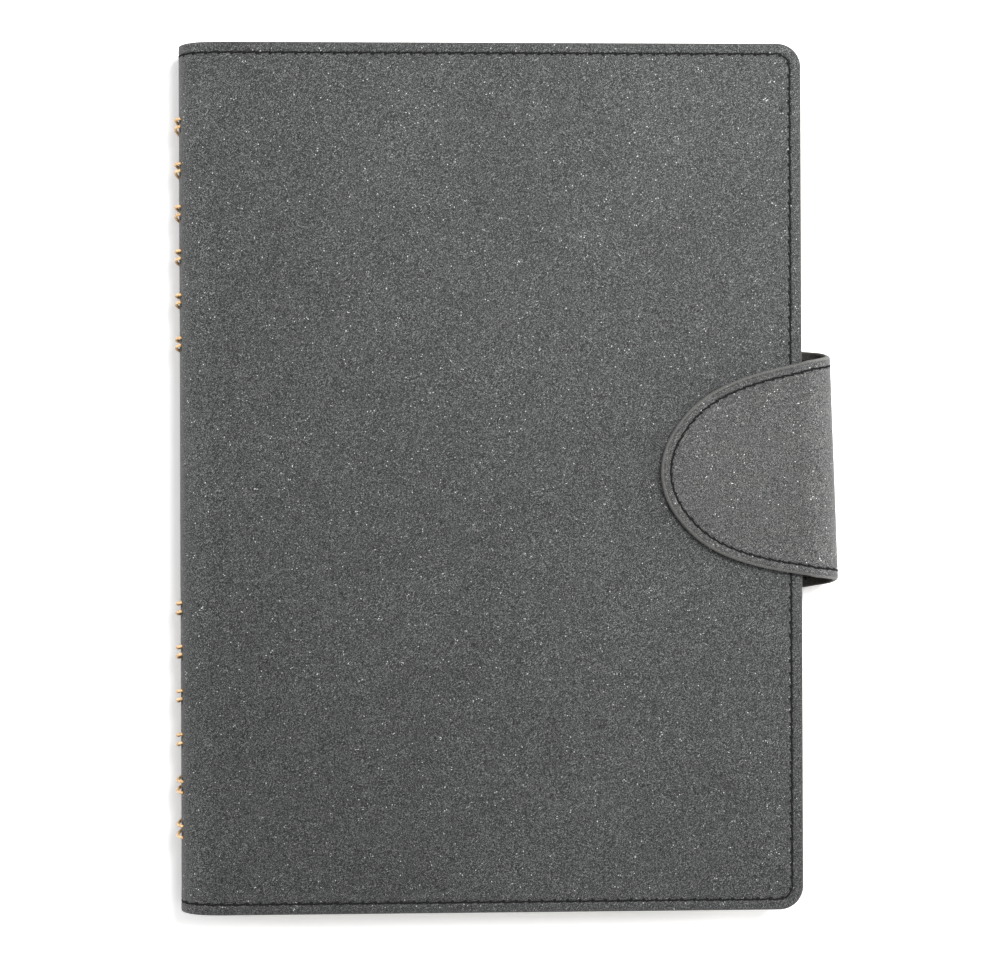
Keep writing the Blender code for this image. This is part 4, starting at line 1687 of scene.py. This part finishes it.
    def blend(self, piece: bpy.types.Object, part: TabPart) -> None:
        """Bake a piece of one part into place; the ends of its fold are worked out and not used.

        Args:
            piece: The piece to bake.
            part: The part that it belongs to.
        """
        x, y = self.axis_point[:2]
        c, s = math.cos(self.tilt), math.sin(self.tilt)
        out = (x + c * self.bend, y + s * self.bend)
        if part is TabPart.ROOT:
            start, end = (x, y, 0.0), (*out, self.bend)
        else:
            start, end = (*out, self.upper_axis), (x, y, self.top)
        tuple(float(a) * MM for a in start)
        tuple(float(a) * MM for a in end)
        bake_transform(piece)

    def build(self) -> None:
        """Make both parts, bake their placement and hide the plain sheets."""
        hidden = {
            TabPart.ROOT: {
                "leather": ("leather_tab_low", "leather_tab_wall"),
                "lining": ("lining_tab_low", "lining_tab_wall"),
                "stitch": ("seam_tab_head", "seam_tab_tail"),
            },
            TabPart.FLAP: {
                "leather": ("leather_tab_top", "leather_flap"),
                "lining": ("lining_tab_top", "lining_flap"),
                "stitch": ("seam_flap",),
            },
        }
        for part in TabPart:
            leather, lining = self.leather(part), self.lining(part)
            stitches = self.stitches(part)
            for piece in (leather, lining, stitches):
                self.blend(piece, part)
            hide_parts(*hidden[part]["leather"])
            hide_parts(*hidden[part]["lining"])
            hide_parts(*hidden[part]["stitch"])


@dataclass
class SpineLacing:
    """Waxed linen that crosses the spine in two blocks of paired strands."""

    sizes: BookSizes
    finishes: Finishes
    radius: float = 0.37
    standoff: float = 0.55
    turns_per_mm: float = 0.42
    plies: int = 3
    lobe: float = 0.13
    sides: int = 18
    hole_depth: float = 1.2
    last_pairs: int = 20

    def crossing(self, side: Side) -> Array:
        """Half of one strand in section: from mid-spine round the bend and in at its hole.

        Args:
            side: The half of the spine.

        Returns:
            Points as unrolled distance from mid-spine and depth.
        """
        b = self.sizes
        hole = b.lace_hole
        t = np.linspace(0.0, 1.0, 30)
        s = hole * (1.0 - (1.0 - t) ** 1.15)
        rise = 0.32 if side is Side.FRONT else -0.20
        depth = -self.standoff - rise * smoothstep(t / 0.6)
        dive = smoothstep((t - 0.72) / 0.28)
        depth = depth + dive * (self.standoff + self.hole_depth)
        s = s - dive * 0.15
        return np.column_stack((s, depth))

    def strands(self) -> Array:
        """For each strand: y in the middle of the spine and its slant to each side.

        Returns:
            One row for each strand.
        """
        rng = np.random.default_rng(5)
        rows = []
        for index, y in enumerate(self.sizes.lace_lines()):
            way = 1.0 if index >= self.last_pairs else -1.0
            lean = way * (0.25 + 0.3 * rng.random() + (0.35 if index % 2 else 0.0))
            rows.append((y + rng.normal(0.0, 0.08), lean))
        return np.array(rows)

    def half(self, side: Side) -> bpy.types.Object:
        """All strands on one half of the spine, as twisted three-ply thread.

        A strand's section is a circle with three lobes, r*(1 + 0.13*cos(3*(a - k*length))),
        carried along its line.

        Args:
            side: The half of the spine.

        Returns:
            The strands as one piece.
        """
        folded = WrapHalf(self.sizes, side)
        line = self.crossing(side)
        rings, sides = len(line), self.sides
        angle = np.arange(sides) * math.tau / sides
        clouds, faces = [], []
        sign = 1.0 if side is Side.FRONT else -1.0
        for index, (y, lean) in enumerate(self.strands()):
            share = np.linspace(0.0, 1.0, rings)
            swing = 1.7 * lean if side is Side.FRONT else 0.3 * lean
            mid_y = y - sign * swing * share**2
            centre = folded.place(line[:, 0], mid_y, line[:, 1])
            ahead = np.gradient(centre, axis=0)
            ahead /= np.linalg.norm(ahead, axis=1, keepdims=True)
            across = np.cross(ahead, np.tile((0.0, 1.0, 0.0), (rings, 1)))
            across /= np.linalg.norm(across, axis=1, keepdims=True)
            other = np.cross(ahead, across)
            steps = np.linalg.norm(np.diff(centre, axis=0), axis=1)
            length = np.concatenate(([0.0], np.cumsum(steps)))
            phase = math.tau * self.turns_per_mm * length[:, None] * sign
            lobes = 1.0 + self.lobe * np.cos(self.plies * (angle - phase))
            r = self.radius * lobes
            ring = (
                centre[:, None]
                + across[:, None] * (r * np.cos(angle))[..., None]
                + other[:, None] * (r * np.sin(angle))[..., None]
            )
            cap = np.broadcast_to(centre[[0, -1], None], (2, sides, 3))
            cloud = np.concatenate((cap[:1], ring, cap[1:]))
            clouds.append(cloud.reshape(-1, 3))
            per = (rings + 2) * sides
            faces.append(grid_quads(rings + 2, sides, index * per, around=True))
        return solid_piece(
            f"spine_lacing_{side.value}",
            np.concatenate(clouds),
            np.concatenate(faces),
            self.finishes.lace,
            sharp_deg=80.0,
        )

    def build(self, wrap: CoverWrap) -> None:
        """Lace both halves and bake them into place.

        Args:
            wrap: The cover, whose bake step the lacing goes through.
        """
        for side, node in ((Side.BACK, "lacing_tail"), (Side.FRONT, "lacing_head")):
            piece = self.half(side)
            wrap.blend(piece, side)
            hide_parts(node)


@dataclass
class SewnSections:
    """The paper: sections of nested folded sheets, each sheet a thin hairpin."""

    sizes: BookSizes
    finishes: Finishes
    sections: int = 6
    sheets: int = 10
    leaf: float = 0.086
    margin: float = 0.1
    scatter: float = 0.05

    def sheet(self, box: Array, rank: int, seed: int) -> tuple[Array, Array]:
        """One folded sheet as a hairpin ribbon.

        Its section runs in along the upper leaf, round a half circle at the fold and out
        along the lower leaf; the radius grows with the sheet's rank in the section.

        Args:
            box: Low and high corners of the section.
            rank: 0 for the innermost sheet.
            seed: Seed of the small unevenness between sheets.

        Returns:
            Points of the closed ribbon and its quads.
        """
        rng = np.random.default_rng(seed)
        low, high = box
        pitch = (high[2] - low[2]) / (2.0 * self.sheets)
        middle = (low[2] + high[2]) / 2.0
        radius = (rank + 0.5) * pitch
        fold_x = low[0] + self.sheets * pitch + 0.02
        edge = high[0] - 0.02 * rank + rng.normal(0.0, self.scatter) - self.margin
        flat = np.linspace(edge, fold_x, 12)
        turn = np.radians(np.linspace(90.0, 270.0, 9))[1:-1]
        x = np.concatenate((flat, fold_x + radius * np.cos(turn), flat[::-1]))
        z = np.concatenate(
            (
                np.full(len(flat), middle + radius),
                middle + radius * np.sin(turn),
                np.full(len(flat), middle - radius),
            )
        )
        ahead = np.gradient(np.column_stack((x, z)), axis=0)
        ahead /= np.linalg.norm(ahead, axis=1, keepdims=True)
        out = np.column_stack((-ahead[:, 1], ahead[:, 0])) * self.leaf / 2.0
        head = high[1] - self.margin + rng.normal(0.0, self.scatter)
        tail = low[1] + self.margin + rng.normal(0.0, self.scatter)
        y = np.array([tail, head])
        faces = []
        for sign in (1.0, -1.0):
            side_x, side_z = (x + sign * out[:, 0])[:, None], (z + sign * out[:, 1])[:, None]
            faces.append(np.stack(np.broadcast_arrays(side_x, y, side_z), axis=-1))
        return np.stack(faces), shell_quads(len(x), 2)

    def build(self) -> None:
        """Make every section; the lower half is attached to the back cover's body, the upper half
        to the front pages' body.
        """
        for number in range(1, self.sections + 1):
            node = f"paper_section_{number}"
            box = in_mm(node)
            clouds, quads, start = [], [], 0
            for rank in range(self.sheets):
                cloud, faces = self.sheet(box, rank, 100 * number + rank)
                clouds.append(cloud.reshape(-1, 3))
                quads.append(faces + start)
                start += len(clouds[-1])
            piece = solid_piece(
                f"sewn_section_{number}",
                np.concatenate(clouds),
                np.concatenate(quads),
                self.finishes.paper,
            )
            body = "back_cover" if number <= self.sections // 2 else "front_pages"
            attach(piece, body)
            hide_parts(node)


@dataclass
class HiddenCore:
    """Stiffeners and magnets that stay as packed, in finer finishes."""

    finishes: Finishes

    def build(self) -> None:
        """Give each packed core piece its finish."""
        finish = {
            "stiffener_back": self.finishes.board,
            "stiffener_front": self.finishes.board,
            "stiffener_flap": self.finishes.board,
            "flap_magnet": self.finishes.nickel,
            "keeper_disc": self.finishes.nickel,
        }
        for node, material in finish.items():
            piece = frame["nodes"][node]
            for slot in piece.material_slots:
                slot.material = material
            LOG.info("%s keeps its packed shape", node)


@dataclass
class Studio:
    """Pale floor, an even white room, a small key light and the camera over the book."""

    camera_height: float = 667.0
    lens: float = 96.0
    aim: tuple[float, float] = (-2.15, 0.12)
    lean: float = -30.0
    roll_deg: float = -0.2
    cover_level: float = 17.0
    floor_half: float = 2600.0
    room_light: float = 0.413

    def floor(self) -> None:
        """A plain pale floor: the sheet that is seen, and the bed whose light reaches the book.

        The sheet reflects more than it is given, as an over-lit studio sweep does, and it
        sends no light back; the bed just under it does that in a natural amount.
        """
        half = self.floor_half
        points = np.array([(-half, -half), (half, -half), (half, half), (-half, half)])
        for name, level, shade in (("floor_sheet", -0.06, 1.40), ("floor_bed", -0.12, 0.93)):
            bench = NodeBench(name)
            matt = bench.tree.nodes.new("ShaderNodeBsdfDiffuse")
            matt.inputs["Color"].default_value = (shade, shade, shade, 1.0)
            output = bench.tree.nodes["Material Output"]
            bench.put(output.inputs["Surface"], matt.outputs[0])
            cloud = np.column_stack((points, np.full(4, level)))
            floor = solid_piece(name, cloud, np.array([[0, 1, 2, 3]]), bench.material, weld=False)
            seen = name == "floor_sheet"
            floor.visible_camera = seen
            floor.visible_diffuse = not seen
            floor.visible_glossy = not seen
            floor.visible_shadow = not seen

    def light(
        self, name: str, place: tuple[float, float, float], size: float, power: float
    ) -> None:
        """One square soft light, aimed at the book.

        Args:
            name: Name of the light.
            place: Where it stands, in metres.
            size: Length of its side, in metres.
            power: Its power in watts.
        """
        data = bpy.data.lights.new(name, "AREA")
        data.shape = "SQUARE"
        data.size = size
        data.energy = power
        lamp = bpy.data.objects.new(name, data)
        bpy.context.scene.collection.objects.link(lamp)
        lamp.location = place
        aim = -lamp.location.normalized()
        lamp.rotation_euler = aim.to_track_quat("-Z", "Y").to_euler()

    def build(self) -> None:
        """Set up the floor, the lights, the backdrop and the camera."""
        self.floor()
        scene = bpy.context.scene
        scene.view_settings.view_transform = "Standard"
        world = bpy.data.worlds.new("soft_white")
        world.use_nodes = True
        back = world.node_tree.nodes["Background"]
        back.inputs["Color"].default_value = (1.0, 1.0, 1.0, 1.0)
        back.inputs["Strength"].default_value = self.room_light
        scene.world = world
        self.light("overhead_light", (0.05, 0.1, 1.5), 0.9, 3.33)
        self.light("key_light", (0.24, 0.27, 0.78), 0.32, 7.0)
        self.light("right_card", (1.0, 0.05, 0.45), 0.6, 4.67)
        self.light("left_card", (-1.0, 0.05, 0.45), 0.6, 3.33)
        data = bpy.data.cameras.new("camera")
        data.lens = self.lens
        data.sensor_width = 36.0
        camera = bpy.data.objects.new("camera", data)
        scene.collection.objects.link(camera)
        eye = (self.aim[0] + self.lean, self.aim[1], self.cover_level + self.camera_height)
        camera.location = tuple(v * MM for v in eye)
        look = np.array((*self.aim, self.cover_level)) - np.array(eye)
        turn = math.atan2(look[0], -look[2])
        camera.rotation_euler = (0.0, -turn, math.radians(self.roll_deg))
        scene.camera = camera


def main() -> None:
    """Build the book from its studio to its last stitch."""
    logging.basicConfig(level=logging.INFO, format="%(name)s: %(message)s")
    Studio().build()
    sizes = BookSizes.from_frame()
    finishes = Finishes()
    wrap = CoverWrap(sizes, finishes)
    tab = MagneticTab(sizes, finishes)
    wrap.build(tab.root_span())
    tab.build()
    SpineLacing(sizes, finishes).build(wrap)
    SewnSections(sizes, finishes).build()
    HiddenCore(finishes).build()


if __name__ == "__main__":
    main()
